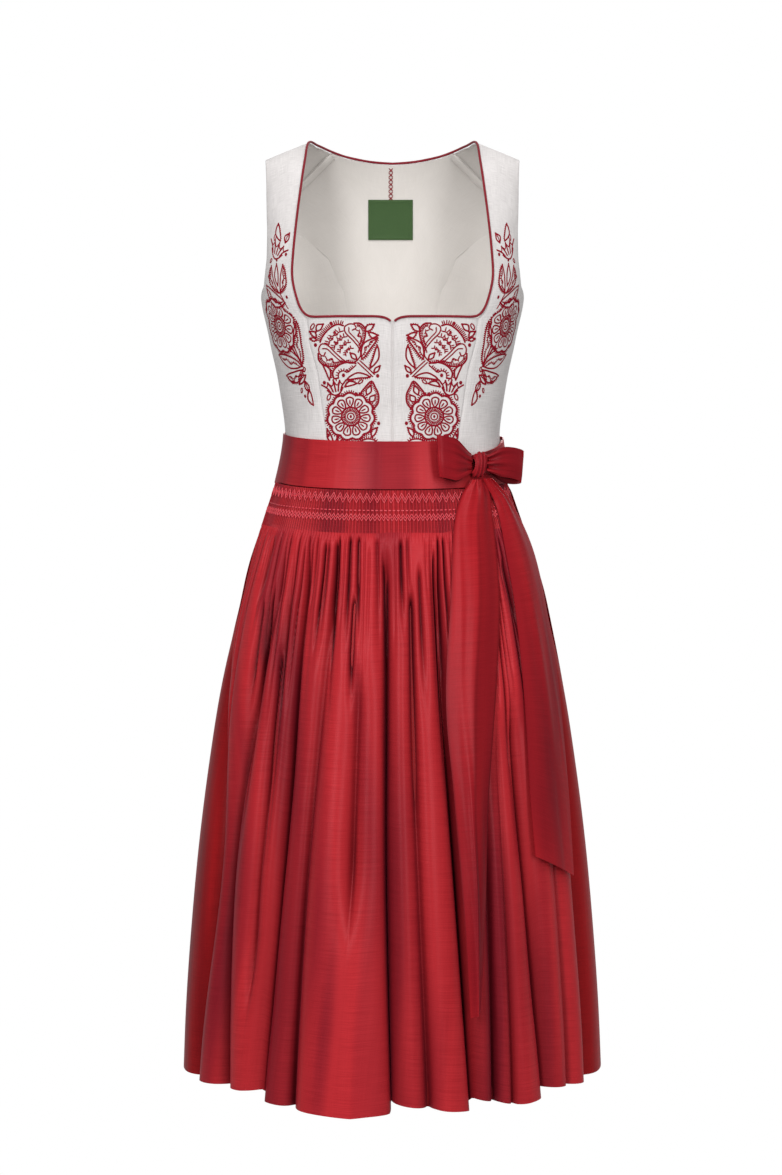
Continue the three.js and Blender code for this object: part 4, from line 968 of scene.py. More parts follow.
PathSpot = namedtuple("PathSpot", "drop angle")


def fold_angle(fold, drop):
    path = [PathSpot(FOLD_TOP, fold.top), PathSpot(FOLD_MID, fold.mid), PathSpot(MEAN_HEM, fold.hem)]
    return smooth(path, "drop", "angle")(drop)


def fold_rows(drop):
    """Angle, half width, depth and lean of every fold at each of the drops given."""
    angles = np.array([fold_angle(fold, drop) for fold in FOLDS])
    radius = half_at(drop)
    before = wrap(angles - np.roll(angles, 1, 0))
    after = wrap(np.roll(angles, -1, 0) - angles)
    room = np.minimum(before, after) * SHARE_OF_SPACE
    table = []
    for k, fold in enumerate(FOLDS):
        width = np.minimum(np.degrees(fold.width / radius), room[k])
        grown = np.clip((drop - fold.start) / (MEAN_HEM - fold.start), 0, 1)
        begun = smoothstep(drop, fold.start, fold.start + FOLD_STARTS_OVER)
        there = begun * (1 - smoothstep(drop, fold.end - FOLD_ENDS_OVER, fold.end))
        deepest = STEEPEST * np.radians(width) * radius
        depth = np.minimum(fold.depth * (0.3 + 0.7 * grown), deepest) * there
        table.append((angles[k], width, depth, fold.lean * grown * there))
    return table


hem_angles = np.array([row.angle for row in HEM])
hem_drops = np.array([row.drop for row in HEM])


def drop_of(down):
    """The drop of a row of the skirt, down being 0 at the waist and 1 at the hem."""
    return SKIRT_TOP + (MEAN_HEM - SKIRT_TOP) * down


def oval_point(angle, drop, off):
    """A point off the body's oval by so much, at an angle round from the middle of the front."""
    power = 2 / square_at(drop)
    half = half_at(drop)
    sine, cosine = np.sin(np.radians(angle)), np.cos(np.radians(angle))
    depth = np.where(cosine >= 0, front_at(drop), back_at(drop))
    out = np.stack([sine / half, -cosine / depth, np.zeros_like(half)], -1)
    out /= np.linalg.norm(out, axis=-1, keepdims=True)
    on = np.stack([half * np.sign(sine) * np.abs(sine) ** power,
                   -depth * np.sign(cosine) * np.abs(cosine) ** power, -drop], -1)
    return on + out * np.asarray(off)[..., None]


def skirt_points(angle, down, lift):
    """The skirt's folds. down is 0 at the waist and 1 at the hem, one value a row; lift raises
    the cloth off its folds."""
    mean = drop_of(down)
    drop = SKIRT_TOP + (np.interp(wrap(angle), hem_angles, hem_drops) - SKIRT_TOP) * down
    depth = np.zeros_like(angle)
    shift = np.zeros_like(angle)
    for centre, width, deep, lean in fold_rows(mean[:, 0]):
        across = wrap(angle - centre[:, None]) / width[:, None]
        valley = np.exp(VALLEY_ROUND - np.hypot(across, VALLEY_ROUND))
        depth += deep[:, None] * valley * (np.abs(across) <= FOLD_REACH)
        depth += SLIT_SHARE * deep[:, None] * np.exp(-((across / SLIT_WIDTH) ** 2))
        flank = (across - LEAN_AT * np.sign(lean)[:, None]) / LEAN_WIDTH
        shift -= lean[:, None] * np.exp(-flank * flank)
    turned = angle + np.degrees(shift / half_at(drop))
    return oval_point(turned, drop, lift - depth)


def fold_painted_shade(angle, down):
    """Painted shade for the folds: how far each point lies in a valley, from 0 on the crests to 1 in the
    deepest.
    """
    tone = np.zeros_like(angle)
    for centre, width, deep, lean in fold_rows(drop_of(down)[:, 0]):
        across = wrap(angle - centre[:, None]) / width[:, None]
        beside = across + 0.5 * np.sign(lean)[:, None]
        slit = 0.85 * np.exp(-((across / 0.5) ** 2))
        flank = 0.36 * np.exp(-((beside / 1.7) ** 2))
        tone += deep[:, None] / 26 * (slit + flank)
    return tone


Gather = namedtuple("Gather", "angle depth end width sway begin")


def gathers(seed, first, last, count, depth, end):
    """Uneven gathers between two angles: each has its own place, depth, length and sway."""
    draw = np.random.default_rng(seed)
    pitch = (last - first) / count
    rows = []
    for k in range(count):
        rows.append(Gather(
            first + (k + 0.5 + draw.uniform(-0.38, 0.38)) * pitch, depth * draw.uniform(0.25, 1.35),
            end + draw.choice([-50, 0, 60, 150, 260], p=[0.2, 0.3, 0.25, 0.15, 0.1])
            + draw.uniform(-25, 25),
            pitch * draw.uniform(0.10, 0.27), pitch * draw.uniform(-0.9, 0.9),
            draw.choice([0.0, 0.06, 0.16, 0.34], p=[0.4, 0.3, 0.2, 0.1])))
    return rows


def gather_depth(rows, angle, drop, start):
    """How deep the gathers are at each point: narrow slits, with the cloth puffed between them."""
    angle, drop = np.broadcast_arrays(angle, drop)
    deep = np.zeros(angle.shape)
    for row in rows:
        along = np.clip((drop - start) / (row.end - start), 0, 1)
        centre = row.angle + row.sway * along**1.4
        width = row.width * (1 + 2.2 * along**2)
        there = smoothstep(drop, start, start + 12) * smoothstep(along, row.begin - 0.02, row.begin + 0.06)
        there = there * (1 - smoothstep(along, 0.25 + row.begin, 1.0))
        across = np.abs(wrap(angle - centre)) / width
        deep += row.depth * there * (0.82 * np.exp(-across**1.5) + 0.18 * np.exp(-((across / 3) ** 2)))
    return deep


def ripples(angle, drop, seed):
    """Slow unevenness of crisp silk between its folds."""
    draw = np.random.default_rng(seed)
    total = np.zeros_like(angle)
    for _ in range(7):
        around, along, phase = draw.uniform(6, 22), draw.uniform(0.4, 1.6), draw.uniform(0, 6.28)
        total += np.sin(np.radians(angle) * around + drop / 100 * along + phase)
    return total / 7 * smoothstep(drop, 480, 800)


def taffeta_material(name, dark, light, tint, roughness=0.36):
    """Shot taffeta: fine weft ribs, a few thicker ones, soft creases down the cloth, painted shade
    that darkens folds and creases by the tone attribute, a soft gloss and a red sheen."""
    n = Nodes(name)
    ribs = n.add("TexNoise", Scale=1.0, Detail=3.0)
    n.link(n.cloth_map(26, 1900), ribs.inputs["Vector"])
    slubs = n.add("TexNoise", Scale=1.0, Detail=1.0)
    n.link(n.cloth_map(14, 420), slubs.inputs["Vector"])
    warp = n.add("TexNoise", Scale=1.0, Detail=2.0)
    n.link(n.cloth_map(900, 9), warp.inputs["Vector"])
    rib_part = n.math("MULTIPLY", ribs.outputs["Fac"], 0.84)
    warp_part = n.math("MULTIPLY", warp.outputs["Fac"], 0.16)
    fine = n.math("ADD", rib_part, warp_part)
    tone = n.math("ADD", n.math("MULTIPLY", fine, 0.92), n.math("MULTIPLY", slubs.outputs["Fac"], 0.08))
    streaks = n.add("TexNoise", Scale=1.0, Detail=2.0)
    n.link(n.cloth_map(15, 1.6), streaks.inputs["Vector"])
    woven = n.colours(tone, (0.36, dark), (0.6, light))
    shot = n.colours(streaks.outputs["Fac"], (0.36, (0.50, 0.47, 0.66)), (0.54, (1, 1, 1)))
    # Painted shade: the tone attribute darkens the colour in valleys, slits and creases.
    valley = n.add("Attribute", attribute_name="tone")
    painted_valley_shade = n.colours(valley.outputs["Fac"], (0.0, (1, 1, 1)), (1.0, (0.14, 0.09, 0.14)))
    n.link(n.times(n.times(woven, shot), painted_valley_shade), n.shader.inputs["Base Color"])
    n.shader.inputs["Roughness"].default_value = roughness
    n.shader.inputs["Specular IOR Level"].default_value = 0.22
    n.shader.inputs["Specular Tint"].default_value = (1.0, 0.40, 0.44, 1)
    n.shader.inputs["Sheen Weight"].default_value = 0.3
    n.shader.inputs["Sheen Roughness"].default_value = 0.45
    n.shader.inputs["Sheen Tint"].default_value = (*tint, 1)
    creases = n.add("TexNoise", Scale=1.0, Detail=2.0)
    n.link(n.cloth_map(75, 3.2), creases.inputs["Vector"])
    n.bump(n.math("ADD", tone, n.math("MULTIPLY", creases.outputs["Fac"], 5.0)), 0.24, 0.0004)
    return n.material


skirt_taffeta = taffeta_material(
    "skirt taffeta", (0.255, 0.006, 0.008), (0.325, 0.009, 0.011), (0.30, 0.015, 0.03),
)
CLOTH_THICK = 0.5
SIDE_ANGLE = {"right": -89.0, "left": 87.0}
BACK_GATHERS = gathers(7, 87, 271, 42, 4.5, 560)
BACK_GATHERS_START = 387
HIDDEN_SET_BACK = 4.0
SKIRT_CUT = (0.82, 0.69)
SKIRT_RIPPLE_SEED = 3


def down_rows(v):
    """Rows lie closer together near the waist."""
    return (1 - v) ** 1.25


def back_angle(u):
    return SIDE_ANGLE["left"] + u * (360 + SIDE_ANGLE["right"] - SIDE_ANGLE["left"])


def front_angle(u):
    return SIDE_ANGLE["right"] + u * (SIDE_ANGLE["left"] - SIDE_ANGLE["right"])


def skirt_back_shape(u, v):
    down = down_rows(v)
    angle = back_angle(u)
    drop = drop_of(down)
    lift = 2.4 * smoothstep(drop, 388, 400) * (1 - smoothstep(drop, 520, 640))
    lift = lift - gather_depth(BACK_GATHERS, angle, drop, BACK_GATHERS_START)
    return skirt_points(angle, down, lift + 0.7 * ripples(angle, drop, SKIRT_RIPPLE_SEED))


def skirt_front_shape(u, v):
    """The front width lies a little back where the apron covers it."""
    down = down_rows(v)
    angle = front_angle(u)
    drop = drop_of(down)
    under = smoothstep(angle, -84, -60) * (1 - smoothstep(angle, 62, 80))
    set_back = HIDDEN_SET_BACK * under * (1 - smoothstep(drop, 980, 1060))
    return skirt_points(angle, down, 0.7 * ripples(angle, drop, SKIRT_RIPPLE_SEED) - set_back)


# Painted shade in the back width's fold valleys and gather slits.
def skirt_back_painted_shade(u, v):
    down = down_rows(v)
    angle = back_angle(u)
    slits = gather_depth(BACK_GATHERS, angle, drop_of(down), BACK_GATHERS_START)
    return fold_painted_shade(angle, down) + slits / 8


# Painted shade in the front width's fold valleys.
def skirt_front_painted_shade(u, v):
    return fold_painted_shade(front_angle(u), down_rows(v))


skirt_back = cloth_sheet("skirt_back_cloth", 440, 88, skirt_back_shape, SKIRT_CUT,
                         [skirt_taffeta], CLOTH_THICK, skirt_back_painted_shade)
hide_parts("skirt_back")
skirt_front = cloth_sheet("skirt_front_cloth", 200, 50, skirt_front_shape, SKIRT_CUT,
                          [skirt_taffeta], CLOTH_THICK, skirt_front_painted_shade)
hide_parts("skirt_front")


# ---------- Apron ----------
# Bright red taffeta over the front of the skirt: a smocked strip of fine pleats at the top, then
# gathers that let go one by one into loose folds. Its sides lie in the skirt's nearest deep folds.
BAND_BOTTOM = 389
APRON_TOP = 390.4
SMOCK_END = 437
SMOCK_PLEATS = 104
APRON_OFF = 1.4
APRON_RIPPLE_SEED = 5
APRON_CUT = (0.60, 0.635)
SMOCK_CUT = (0.46, 0.047)
SIDE_RISE = 5.5
APRON_GATHERS = gathers(21, -81, 72, 72, 9.5, 590)
apron_taffeta = taffeta_material(
    "apron taffeta", (0.34, 0.014, 0.019), (0.44, 0.022, 0.028), (0.34, 0.03, 0.06),
)


def apron_edges(down):
    """The angles of the apron's two sides, which follow the nearest valleys' flanks."""
    rows = fold_rows(drop_of(down))
    right = rows[FOLDS.index(RIGHT_EDGE_FOLD)]
    left = rows[FOLDS.index(LEFT_EDGE_FOLD)]
    return right[0] + right[1], left[0] - left[1]


def waist_rise(angle, drop):
    """The band and the top of the apron sit a little higher at the sides than at the front."""
    turned = np.abs(wrap(angle))
    at_front = (np.minimum(turned, 86) / 86) ** 2 * (1 - smoothstep(turned, 95, 135))
    return SIDE_RISE * at_front * (1 - smoothstep(drop, 400, 520))


def apron_angles(u, down):
    right, left = apron_edges(down[:, 0])
    return right[:, None] + u * (left - right)[:, None]


def apron_points(u, down):
    angle = apron_angles(u, down)
    drop = drop_of(down)
    pleat = np.cos(u * SMOCK_PLEATS * 2 * np.pi) * (1 - smoothstep(drop, SMOCK_END - 6, SMOCK_END + 14))
    crest = 1.4 + 2.8 * smoothstep(drop, SMOCK_END - 4, SMOCK_END + 14)
    crest = crest * (1 - smoothstep(drop, 520, 720))
    lift = APRON_OFF + crest + pleat + 0.8 * ripples(angle, drop, APRON_RIPPLE_SEED)
    points = skirt_points(angle, down, lift - gather_depth(APRON_GATHERS, angle, drop, SMOCK_END))
    points[..., 2] += waist_rise(angle, drop)
    return points


def down_of(drop):
    return (drop - SKIRT_TOP) / (MEAN_HEM - SKIRT_TOP)


def smock_shape(u, v):
    return apron_points(u, down_of(SMOCK_END + (APRON_TOP - SMOCK_END) * v))


def apron_rows(v):
    top = down_of(SMOCK_END)
    return top + (1 - top) * (1 - v) ** 1.3


def apron_shape(u, v):
    return apron_points(u, apron_rows(v))


# Painted shade in the apron's fold valleys and gather slits.
def apron_painted_shade(u, v):
    down = apron_rows(v)
    angle = apron_angles(u, down)
    slits = gather_depth(APRON_GATHERS, angle, drop_of(down), SMOCK_END) / 8
    return fold_painted_shade(angle, down) + np.minimum(slits, 1.0) ** 2.2


# Painted shade between the smocked pleats, and a little all over the strip.
def smock_painted_shade(u, v):
    return 0.27 - 0.22 * np.cos(u * SMOCK_PLEATS * 2 * np.pi)


apron = cloth_sheet("apron_cloth", 700, 70, apron_shape, APRON_CUT,
                    [apron_taffeta], CLOTH_THICK, apron_painted_shade)
smocking = cloth_sheet("apron_smocking", 728, 22, smock_shape, SMOCK_CUT,
                       [apron_taffeta], CLOTH_THICK, smock_painted_shade)
for piece, cut in ((apron, APRON_CUT), (smocking, SMOCK_CUT)):
    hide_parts("apron")


# ---------- Smocking threads ----------
# Rose-red silk worked over the fine pleats: two close rows of zigzag, a row of short bars below
# them and two finer zigzags along the lower edge.
smock_silk = Nodes("smocking silk")
smock_silk.shader.inputs["Base Color"].default_value = (0.64, 0.042, 0.062, 1)
smock_silk.shader.inputs["Roughness"].default_value = 0.35
smock_silk.shader.inputs["Sheen Weight"].default_value = 0.2
SMOCK_ARC_DROP = 405
SMOCK_CREST = 1.35
SILK_SEAT = 1.3
SILK_WIDTH, SILK_HEIGHT = 0.85, 0.9
Zigzag = namedtuple("Zigzag", "top bottom pitch apart")
UPPER_ZIGZAG = Zigzag(393.2, 400.6, 7.8, 3.6)
LOWER_ZIGZAG = Zigzag(416, 420.4, 4.8, 3.4)
BAR_DROP, BAR_HALF, BAR_PITCH = 412.4, 1.4, 4.8
BAR_WIDTH, BAR_HEIGHT = 1.3, 0.8
CREST_STEPS = 200


def smock_crest(u, drop):
    """The pleats' crests, at any place of the smocked strip."""
    mean = drop_of(down_of(drop))
    right, left = apron_edges(down_of(np.full(1, float(SMOCK_ARC_DROP))))
    angle = right + u * (left - right)
    points = oval_point(angle, mean, APRON_OFF + SMOCK_CREST + SILK_SEAT + 0 * mean)
    points[..., 2] += waist_rise(angle, mean)
    return points


crest_u = np.linspace(0, 1, CREST_STEPS)
crest_points = smock_crest(crest_u, np.full(CREST_STEPS, float(SMOCK_ARC_DROP)))
crest_arcs = np.concatenate([[0], np.cumsum(np.linalg.norm(np.diff(crest_points, axis=0), axis=1))])


def smock_cloth(arc, drop):
    return smock_crest(np.interp(arc, crest_arcs, crest_u), drop)


def zigzags(needle, kind):
    """Two close rows of zigzag from side to side of the smocked strip."""
    knots = np.arange(2, crest_arcs[-1] - 2, kind.pitch / 2)
    for lower in (0, kind.apart):
        for k in range(len(knots) - 1):
            start, end = (kind.top, kind.bottom) if k % 2 else (kind.bottom, kind.top)
            needle.one(complex(knots[k], start + lower), complex(knots[k + 1], end + lower),
                       SILK_WIDTH, SILK_HEIGHT)


smocked = Needle()
zigzags(smocked, UPPER_ZIGZAG)
for arc in np.arange(4, crest_arcs[-1] - 3, BAR_PITCH):
    smocked.one(complex(arc - BAR_HALF, BAR_DROP), complex(arc + BAR_HALF, BAR_DROP),
                BAR_WIDTH, BAR_HEIGHT)
zigzags(smocked, LOWER_ZIGZAG)
smock_threads = thread_piece("smocking_threads", smocked.made, smock_cloth, 1, smock_silk.material)


# ---------- Waistband and tie ----------
# A straight band of the apron's taffeta round the front, and the tie that goes on from its end at
# the wearer's right, round the back and over the band to the knot.
BAND_TOP = 336
BAND_SEAT = 0.7
BAND_THICK = 1.8
OVER_BAND = 3.4
Strip = namedtuple("Strip", "angle off top bottom")
BAND_ROWS = [
    Strip(-86, BAND_SEAT, BAND_TOP, 392.5), Strip(-70, BAND_SEAT, BAND_TOP, BAND_BOTTOM),
    Strip(0, BAND_SEAT, BAND_TOP, BAND_BOTTOM), Strip(30, BAND_SEAT, BAND_TOP, BAND_BOTTOM),
    Strip(42, BAND_SEAT, 354, BAND_BOTTOM), Strip(62, BAND_SEAT, 351, BAND_BOTTOM),
    Strip(86, BAND_SEAT, 344, 390.5),
]
BAND_CUT = (0.33, 0.053)
KNOT_ANGLE = 42.5
TIE_THICK = 0.9
TIE_CUT = (0.50, 0.048)
TIE_ROWS = [
    Strip(KNOT_ANGLE - 3, OVER_BAND, 354, 374), Strip(62, OVER_BAND, 349, 377),
    Strip(84, OVER_BAND, 342, 392), Strip(96, OVER_BAND, 341, 393), Strip(130, 1.6, 338, 390.5),
    Strip(200, 1.6, 337, 390.5), Strip(255, 1.6, 336, 391.5), Strip(273.3, BAND_SEAT, 336, 393),
]


def strip_shape(rows, thick, creases):
    angles = [row.angle for row in rows]

    def shape(u, v):
        angle = rows[0].angle + u * (rows[-1].angle - rows[0].angle)
        off = np.interp(angle, angles, [row.off for row in rows]) + thick
        top = np.interp(angle, angles, [row.top for row in rows])
        bottom = np.interp(angle, angles, [row.bottom for row in rows])
        drop = bottom + (top - bottom) * v
        points = oval_point(angle, drop, off + creases(angle, v))
        points[..., 2] += waist_rise(angle, drop)
        return points
    return shape


def band_creases(angle, v):
    draw = np.random.default_rng(11)
    rise = 0.5 * np.sin(v * np.pi) ** 0.5
    for _ in range(9):
        at, width = draw.uniform(-80, 80), draw.uniform(3, 7)
        tilt, deep = draw.uniform(-9, 9), draw.uniform(0.1, 0.35)
        rise = rise - deep * np.exp(-(((angle - at - tilt * (v - 0.5)) / width) ** 2))
    return rise


def tie_creases(angle, v):
    near_knot = 1 - smoothstep(angle, 45, 100)
    pleats = np.cos(v * np.pi * 6) * 0.9 * near_knot
    return 0.5 * np.sin(v * np.pi) ** 0.5 + pleats + 0.3 * np.sin(angle / 7 + v * 4)


def band_painted_shade(u, v):
    """Painted shade: the band is a little darker all over, and more towards the wearer's right."""
    angle = BAND_ROWS[0].angle + u * (BAND_ROWS[-1].angle - BAND_ROWS[0].angle)
    return 0.07 + 0.12 * smoothstep(-angle, 20, 75)


band = cloth_sheet("apron_waistband_cloth", 220, 16, strip_shape(BAND_ROWS, BAND_THICK, band_creases),
                   BAND_CUT, [apron_taffeta], 1.6, band_painted_shade)
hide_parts("apron_waistband")
tie = cloth_sheet("apron_tie_back_cloth", 260, 16, strip_shape(TIE_ROWS, 1.0, tie_creases),
                  TIE_CUT, [apron_taffeta], TIE_THICK)
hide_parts("apron_tie_back")


# ---------- Bow ----------
# The tie's two ends knotted over the band at the wearer's left: a gathered knot, two flat loops
# and two tails, a long one creased down its middle and a broad shorter one. Cut edges are hemmed.
KNOT_DROP = 363
KNOT_SEAT = 5.8
KNOT_HALF = (9.0, 6.75, 15.5)
KNOT_CUT = (0.030, 0.058)
KNOT_ROUND, KNOT_OVER = 156, 330
KNOT_FOLDS = 4.5
LOOP_THICK = 0.9
LOOP_CUT = (0.096, 0.040)
LONG_TAIL_CUT = (0.052, 0.60)
SHORT_TAIL_CUT = (0.062, 0.43)
bow_taffeta = taffeta_material(
    "bow taffeta", (0.30, 0.008, 0.012), (0.375, 0.012, 0.017), (0.34, 0.03, 0.06), 0.34,
)
knot_foot = oval_point(KNOT_ANGLE, KNOT_DROP, KNOT_SEAT)
knot_centre = oval_point(KNOT_ANGLE, KNOT_DROP, KNOT_SEAT + KNOT_HALF[1])
knot_forward = (knot_centre - knot_foot) / np.linalg.norm(knot_centre - knot_foot)
knot_side = np.array([-knot_forward[1], knot_forward[0], 0])
knot_up = np.array([0, 0, 1.0])


def knot_shape(u, v):
    """A ribbon drawn together and wrapped over the front from top to bottom."""
    round_side = np.radians((u - 0.5) * KNOT_ROUND)
    over = np.radians((v - 0.5) * KNOT_OVER)
    body = np.cos(round_side) ** 0.45
    ridge = 0.055 * np.cos(u * 2 * np.pi * KNOT_FOLDS + 0.9 * np.sin(over))
    ridge = ridge + 0.03 * np.cos(u * 2 * np.pi * 2 * KNOT_FOLDS + over)
    body = body * (1 + ridge) * (1 + 0.05 * np.sin(over * 1.5 + 1))
    waist = 1 - 0.12 * np.cos(over) ** 2
    side = KNOT_HALF[0] * waist * np.sin(round_side) * 1.02
    forward = KNOT_HALF[1] * np.cos(over) * body
    up = KNOT_HALF[2] * 0.93 * np.sin(over) * body
    tilt = 0.14
    return (knot_centre + (side + tilt * up)[..., None] * knot_side + forward[..., None] * knot_forward
            + up[..., None] * knot_up)


# Painted shade in the valleys between the knot's folds.
def knot_painted_shade(u, v):
    over = np.radians((v - 0.5) * KNOT_OVER)
    return 0.36 * (0.5 - 0.5 * np.cos(u * 2 * np.pi * KNOT_FOLDS + 0.9 * np.sin(over))) ** 2


knot = cloth_sheet("bow_knot_cloth", 72, 56, knot_shape, KNOT_CUT, [bow_taffeta], 0.6, knot_painted_shade)
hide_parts("bow_knot")

LoopSpot = namedtuple("LoopSpot", "t away stand")
LOOP_PATH = [
    LoopSpot(0, 0, 2.5), LoopSpot(0.12, 0.2, 7), LoopSpot(0.26, 0.5, 9.5), LoopSpot(0.4, 0.84, 8),
    LoopSpot(0.47, 0.97, 5), LoopSpot(0.53, 0.97, 1), LoopSpot(0.6, 0.84, -2), LoopSpot(0.8, 0.4, -2),
    LoopSpot(1, 0, -0.5),
]
Loop = namedtuple("Loop", "name out droop half_tip half_root direction phase opened crease shade")
LOOPS = [
    Loop("bow_loop_left", 49, 5.5, 16.5, 9, (0.86, 0.5), 0.4, -5.0, 2.0, 0.18),
    Loop("bow_loop_right", 44, -10, 24, 10, (-0.86, -0.5), 2.1, -1.5, 0.7, 0.04),
]
LOOP_LEAD = 10.4
loop_away = smooth(LOOP_PATH, "t", "away")
loop_stand = smooth(LOOP_PATH, "t", "stand")


def loop_shape(loop):
    def shape(u, v):
        away = loop_away(u) * loop.out
        share = np.clip(loop_away(u), 0, 1)
        half = loop.half_root + (loop.half_tip - loop.half_root) * smoothstep(share, -0.1, 0.52)
        across = v * 2 - 1
        fan = (1 - share) ** 2
        pleats = 2.6 * fan * np.cos(across * 8 + loop.phase)
        crease = pleats + loop.crease * np.cos(across * 3.4 + loop.phase) * share
        front = np.where(u < 0.5, 1, -0.4)
        stand = loop_stand(u) + crease * front - 1.4 * across**2 * (u < 0.5)
        away = away - 0.8 * share**3 * np.abs(across) ** 3 + 1.6 * share * across
        x = knot_centre[0] + loop.direction[0] * (LOOP_LEAD + away)
        y = knot_centre[1] + loop.direction[1] * (LOOP_LEAD + away) - stand * 0.9
        sag = 1.5 * np.sin(across * 2 + loop.phase) * share
        opening = loop.opened * np.sin(2 * np.pi * u) * share**0.5
        z = knot_centre[2] + 2 - loop.droop * share + across * half + sag - opening
        return np.stack([x, y, z], -1)
    return shape


def loop_painted_shade(loop):
    """Painted shade: the inside of a loop is darker, and so are the creases that run out from the knot;
    each loop is darkened all over by its own shade.
    """
    def tone(u, v):
        share = np.clip(loop_away(u), 0, 1)
        creases = 0.55 * (1 - share) ** 1.5 * (0.5 + 0.5 * np.cos((v * 2 - 1) * 16 + 2.6))
        return 0.6 * smoothstep(u, 0.5, 0.56) + creases + loop.shade
    return tone


for loop in LOOPS:
    piece = cloth_sheet(f"{loop.name}_cloth", 84, 36, loop_shape(loop), LOOP_CUT,
                        [bow_taffeta], LOOP_THICK, loop_painted_shade(loop))
    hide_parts(loop.name)

TailSpot = namedtuple("TailSpot", "at left right drop_left drop_right off fold")
LONG_TAIL = [
    TailSpot(0, 37, 43.2, 379.2, 378.85, 11.5, 1),
    TailSpot(0.05, 30.5, 48, 396, 394, 8, 3),
    TailSpot(0.11, 25, 46.5, 427, 424, 7, 2),
    TailSpot(0.2, 21.5, 43, 490, 486, 6, 3),
    TailSpot(0.4, 17, 35, 612, 608, 5.5, 4),
    TailSpot(0.6, 18, 29, 728, 724, 5.5, 6),
    TailSpot(0.8, 19.5, 26, 850, 846, 5.5, 9),
    TailSpot(1, 20.5, 23.5, 966, 958, 5.5, 11),
]
SHORT_TAIL = [
    TailSpot(0, 43.9, 51, 378.6, 379.2, 11.5, 1),
    TailSpot(0.08, 51, 65, 408, 404, 8, 3),
    TailSpot(0.2, 50, 76, 462, 456, 7, 3),
    TailSpot(0.35, 48.5, 72, 530, 526, 6, 3),
    TailSpot(0.6, 46, 67, 635, 645, 5.5, 2),
    TailSpot(0.85, 44, 63, 735, 765, 5.5, 2),
    TailSpot(1, 44, 61.5, 796, 826, 5.5, 2),
]
TAIL_CLOTH = 1.2


def tail_shape(rows, seed):
    columns = {key: smooth(rows, "at", key) for key in rows[0]._fields[1:]}
    draw = np.random.default_rng(seed)
    dents = [
        (draw.uniform(0.1, 0.9), draw.uniform(0.15, 0.9), draw.uniform(0.05, 0.12), draw.uniform(-1, 1))
        for _ in range(9)
    ]

    def shape(u, v):
        at = 1 - v
        angle = columns["left"](at) + (columns["right"](at) - columns["left"](at)) * u
        drop = columns["drop_left"](at) + (columns["drop_right"](at) - columns["drop_left"](at)) * u
        middle = 1 - np.sqrt((2 * u - 1) ** 2 + 0.02)
        drawn = np.exp(-at / 0.09)
        off = columns["off"](at) + columns["fold"](at) * middle + TAIL_CLOTH
        off = off + 1.6 * drawn * np.cos(u * 2 * np.pi * 2.5 + seed)
        off = off + 0.8 * np.cos(u * 2 * np.pi + seed) * np.exp(-at / 0.5)
        for place, along, wide, tall in dents:
            off = off + 0.9 * tall * np.exp(-(((u - place - (at - along) * 0.6) / wide) ** 2)
                                            - ((at - along) / 0.2) ** 2)
        return oval_point(angle, drop, off)
    return shape


def tail_painted_shade(u, v):
    """Painted shade: the long tail is a little darker all over, dark along its hems and crease, and the
    half behind the crease lies in shade.
    """
    hem_shade = 0.4 * (np.exp(-((u / 0.035) ** 2)) + np.exp(-(((1 - u) / 0.035) ** 2)))
    behind = 0.24 * smoothstep(u, 0.5, 0.6)
    crease = 0.3 * np.exp(-(((u - 0.54) / 0.04) ** 2)) * smoothstep(v, 0, 0.4)
    return 0.05 + hem_shade + behind + crease


long_tail = cloth_sheet("bow_tail_long_cloth", 40, 190, tail_shape(LONG_TAIL, 2), LONG_TAIL_CUT,
                        [bow_taffeta], LOOP_THICK, tail_painted_shade)
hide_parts("bow_tail_long")
short_tail = cloth_sheet("bow_tail_short_cloth", 48, 150, tail_shape(SHORT_TAIL, 4), SHORT_TAIL_CUT,
                         [bow_taffeta], LOOP_THICK)
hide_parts("bow_tail_short")


# ---------- Piping round the neck ----------
# A bias strip of dark crimson cotton round a cord, sewn into the neck's edge. Its two ends meet
# in the notch at the centre front.
PIPING_RADIUS = 1.4
PIPING_SEAT = 1.2
PIPING_FORWARD = 0.75
PIPING_WRAP = 340
NOTCH_CLEAR = 2.2
NECK_STARTS_AT = 10 / 26
NECK_BACK_SHARE = 3 / 8
SMOOTHING_ROUNDS = 14
crimson = linen_material("crimson piping", (0.14, 0.005, 0.012), (0.24, 0.010, 0.020), 0.35)


def edge_with_inside(panel, u, v, into):
    u, v = np.broadcast_arrays(u, v)
    at = panel_points(panel, u, v)
    inside = panel_points(panel, np.clip(u + into[0], 0, 1), np.clip(v + into[1], 0, 1))
    return at, inside


def neck_line():
    """The middle of the piping from the notch over the shoulder to the centre back."""
    centre, side, _, back = PANELS
    parts = [
        edge_with_inside(centre, np.linspace(0, 1, 40)[:-1], 1.0, (0, -0.1)),
        edge_with_inside(side, 0.0, np.linspace(NECK_STARTS_AT, 1, 90)[:-1], (0.1, 0)),
        edge_with_inside(back, np.linspace(NECK_BACK_SHARE, 0, 30), 1.0, (0, -0.05)),
    ]
    at = np.concatenate([part[0] for part in parts])
    inside = np.concatenate([part[1] for part in parts])
    tangent = np.gradient(at, axis=0)
    tangent /= np.linalg.norm(tangent, axis=1, keepdims=True)
    away = at - inside
    away -= tangent * np.sum(away * tangent, axis=1, keepdims=True)
    away /= np.linalg.norm(away, axis=1, keepdims=True)
    face = np.cross(tangent, away)
    line = at + away * PIPING_SEAT + face * PIPING_FORWARD
    line[0, 0] = NOTCH_CLEAR
    line[-1, 0] = 0
    for _ in range(SMOOTHING_ROUNDS):
        line[1:-1] = (line[:-2] + 2 * line[1:-1] + line[2:]) / 4
    return line


half_line = neck_line()
neck_path = np.concatenate([half_line, (half_line * (-1, 1, 1))[-2::-1]])


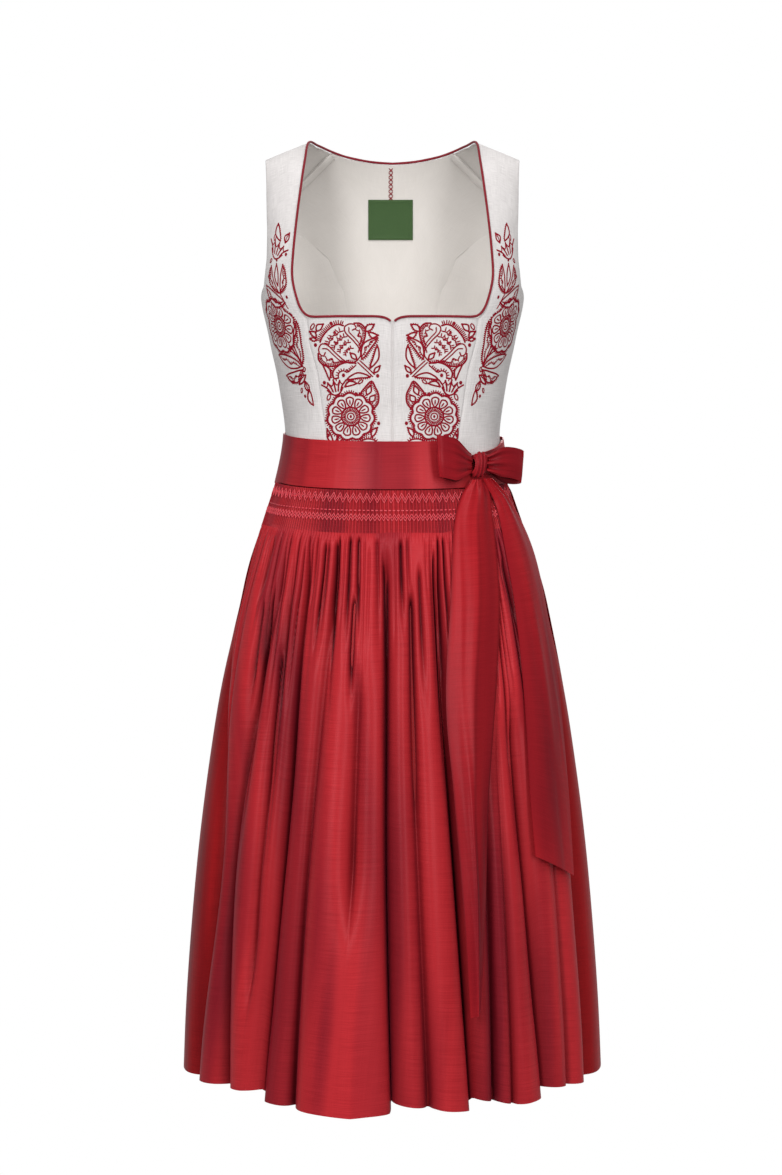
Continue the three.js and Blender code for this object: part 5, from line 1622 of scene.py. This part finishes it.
def tube_frame(path):
    """Two directions square to a path, turned along with it."""
    tangent = np.gradient(path, axis=0)
    tangent /= np.linalg.norm(tangent, axis=1, keepdims=True)
    first = np.cross(tangent, (0, 0, 1.0)) + 1e-6
    first /= np.linalg.norm(first, axis=1, keepdims=True)
    for i in range(1, len(first)):
        turned = first[i - 1] - tangent[i] * np.dot(first[i - 1], tangent[i])
        first[i] = turned / np.linalg.norm(turned)
    return first, np.cross(tangent, first)


def tube_shape(path, radius, wrap_degrees):
    first, second = tube_frame(path)

    def shape(u, v):
        place = u * (len(path) - 1)
        i = np.clip(place.astype(int), 0, len(path) - 2)
        t = (place - i)[..., None]
        centre = path[i] * (1 - t) + path[i + 1] * t
        one = first[i] * (1 - t) + first[i + 1] * t
        two = second[i] * (1 - t) + second[i + 1] * t
        turn = np.radians((v - 0.5) * wrap_degrees)[..., None]
        return centre + radius * (np.cos(turn) * one + np.sin(turn) * two)
    return shape


neck_length = float(np.sum(np.linalg.norm(np.diff(neck_path, axis=0), axis=1))) * MM
PIPING_CUT = (neck_length, 0.010)
piping = cloth_sheet("neck_piping_cloth", 620, 12, tube_shape(neck_path, PIPING_RADIUS, PIPING_WRAP),
                     PIPING_CUT, [crimson], 0.4)
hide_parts("neck_piping")


# ---------- Label ----------
# A bare woven label of dark green cotton with a slightly raised border, sewn flat to the lining
# under the cross stitch.
LABEL_LEFT, LABEL_TOP = -28.6, 62
LABEL_WIDE, LABEL_TALL = 52.7, 47
LABEL_SEAT = 4.2
BORDER_IN, BORDER_WIDTH, BORDER_RAISED = 2.4, 0.7, 0.45
LABEL_CUT = (0.0527, 0.047)
green = Nodes("green label")
weave = green.add("TexBrick", Scale=1.0, Mortar_Size=0.02)
weave.inputs["Color1"].default_value = (0.034, 0.082, 0.020, 1)
weave.inputs["Color2"].default_value = (0.050, 0.112, 0.030, 1)
weave.inputs["Mortar"].default_value = (0.022, 0.052, 0.013, 1)
green.link(green.cloth_map(1400, 1400), weave.inputs["Vector"])
green.link(weave.outputs["Color"], green.shader.inputs["Base Color"])
green.shader.inputs["Roughness"].default_value = 0.8
green.bump(weave.outputs["Fac"], 0.4, 0.0003)


def label_shape(u, v):
    x = LABEL_LEFT + LABEL_WIDE * u
    drop = LABEL_TOP + LABEL_TALL * (1 - v)
    points = bodice_point(*bodice_place(x, drop, behind=True))
    rim = np.minimum(np.minimum(u, 1 - u) * LABEL_WIDE, np.minimum(v, 1 - v) * LABEL_TALL)
    border = BORDER_RAISED * np.exp(-(((rim - BORDER_IN) / BORDER_WIDTH) ** 2))
    unevenness = 0.3 * np.sin(u * 7 + 1) * np.sin(v * 5)
    return points - ways_out(points) * (LABEL_SEAT + (border + unevenness))[..., None]


label = cloth_sheet("neck_label_cloth", 60, 54, label_shape, LABEL_CUT, [green.material], -0.6)
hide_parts("neck_label")
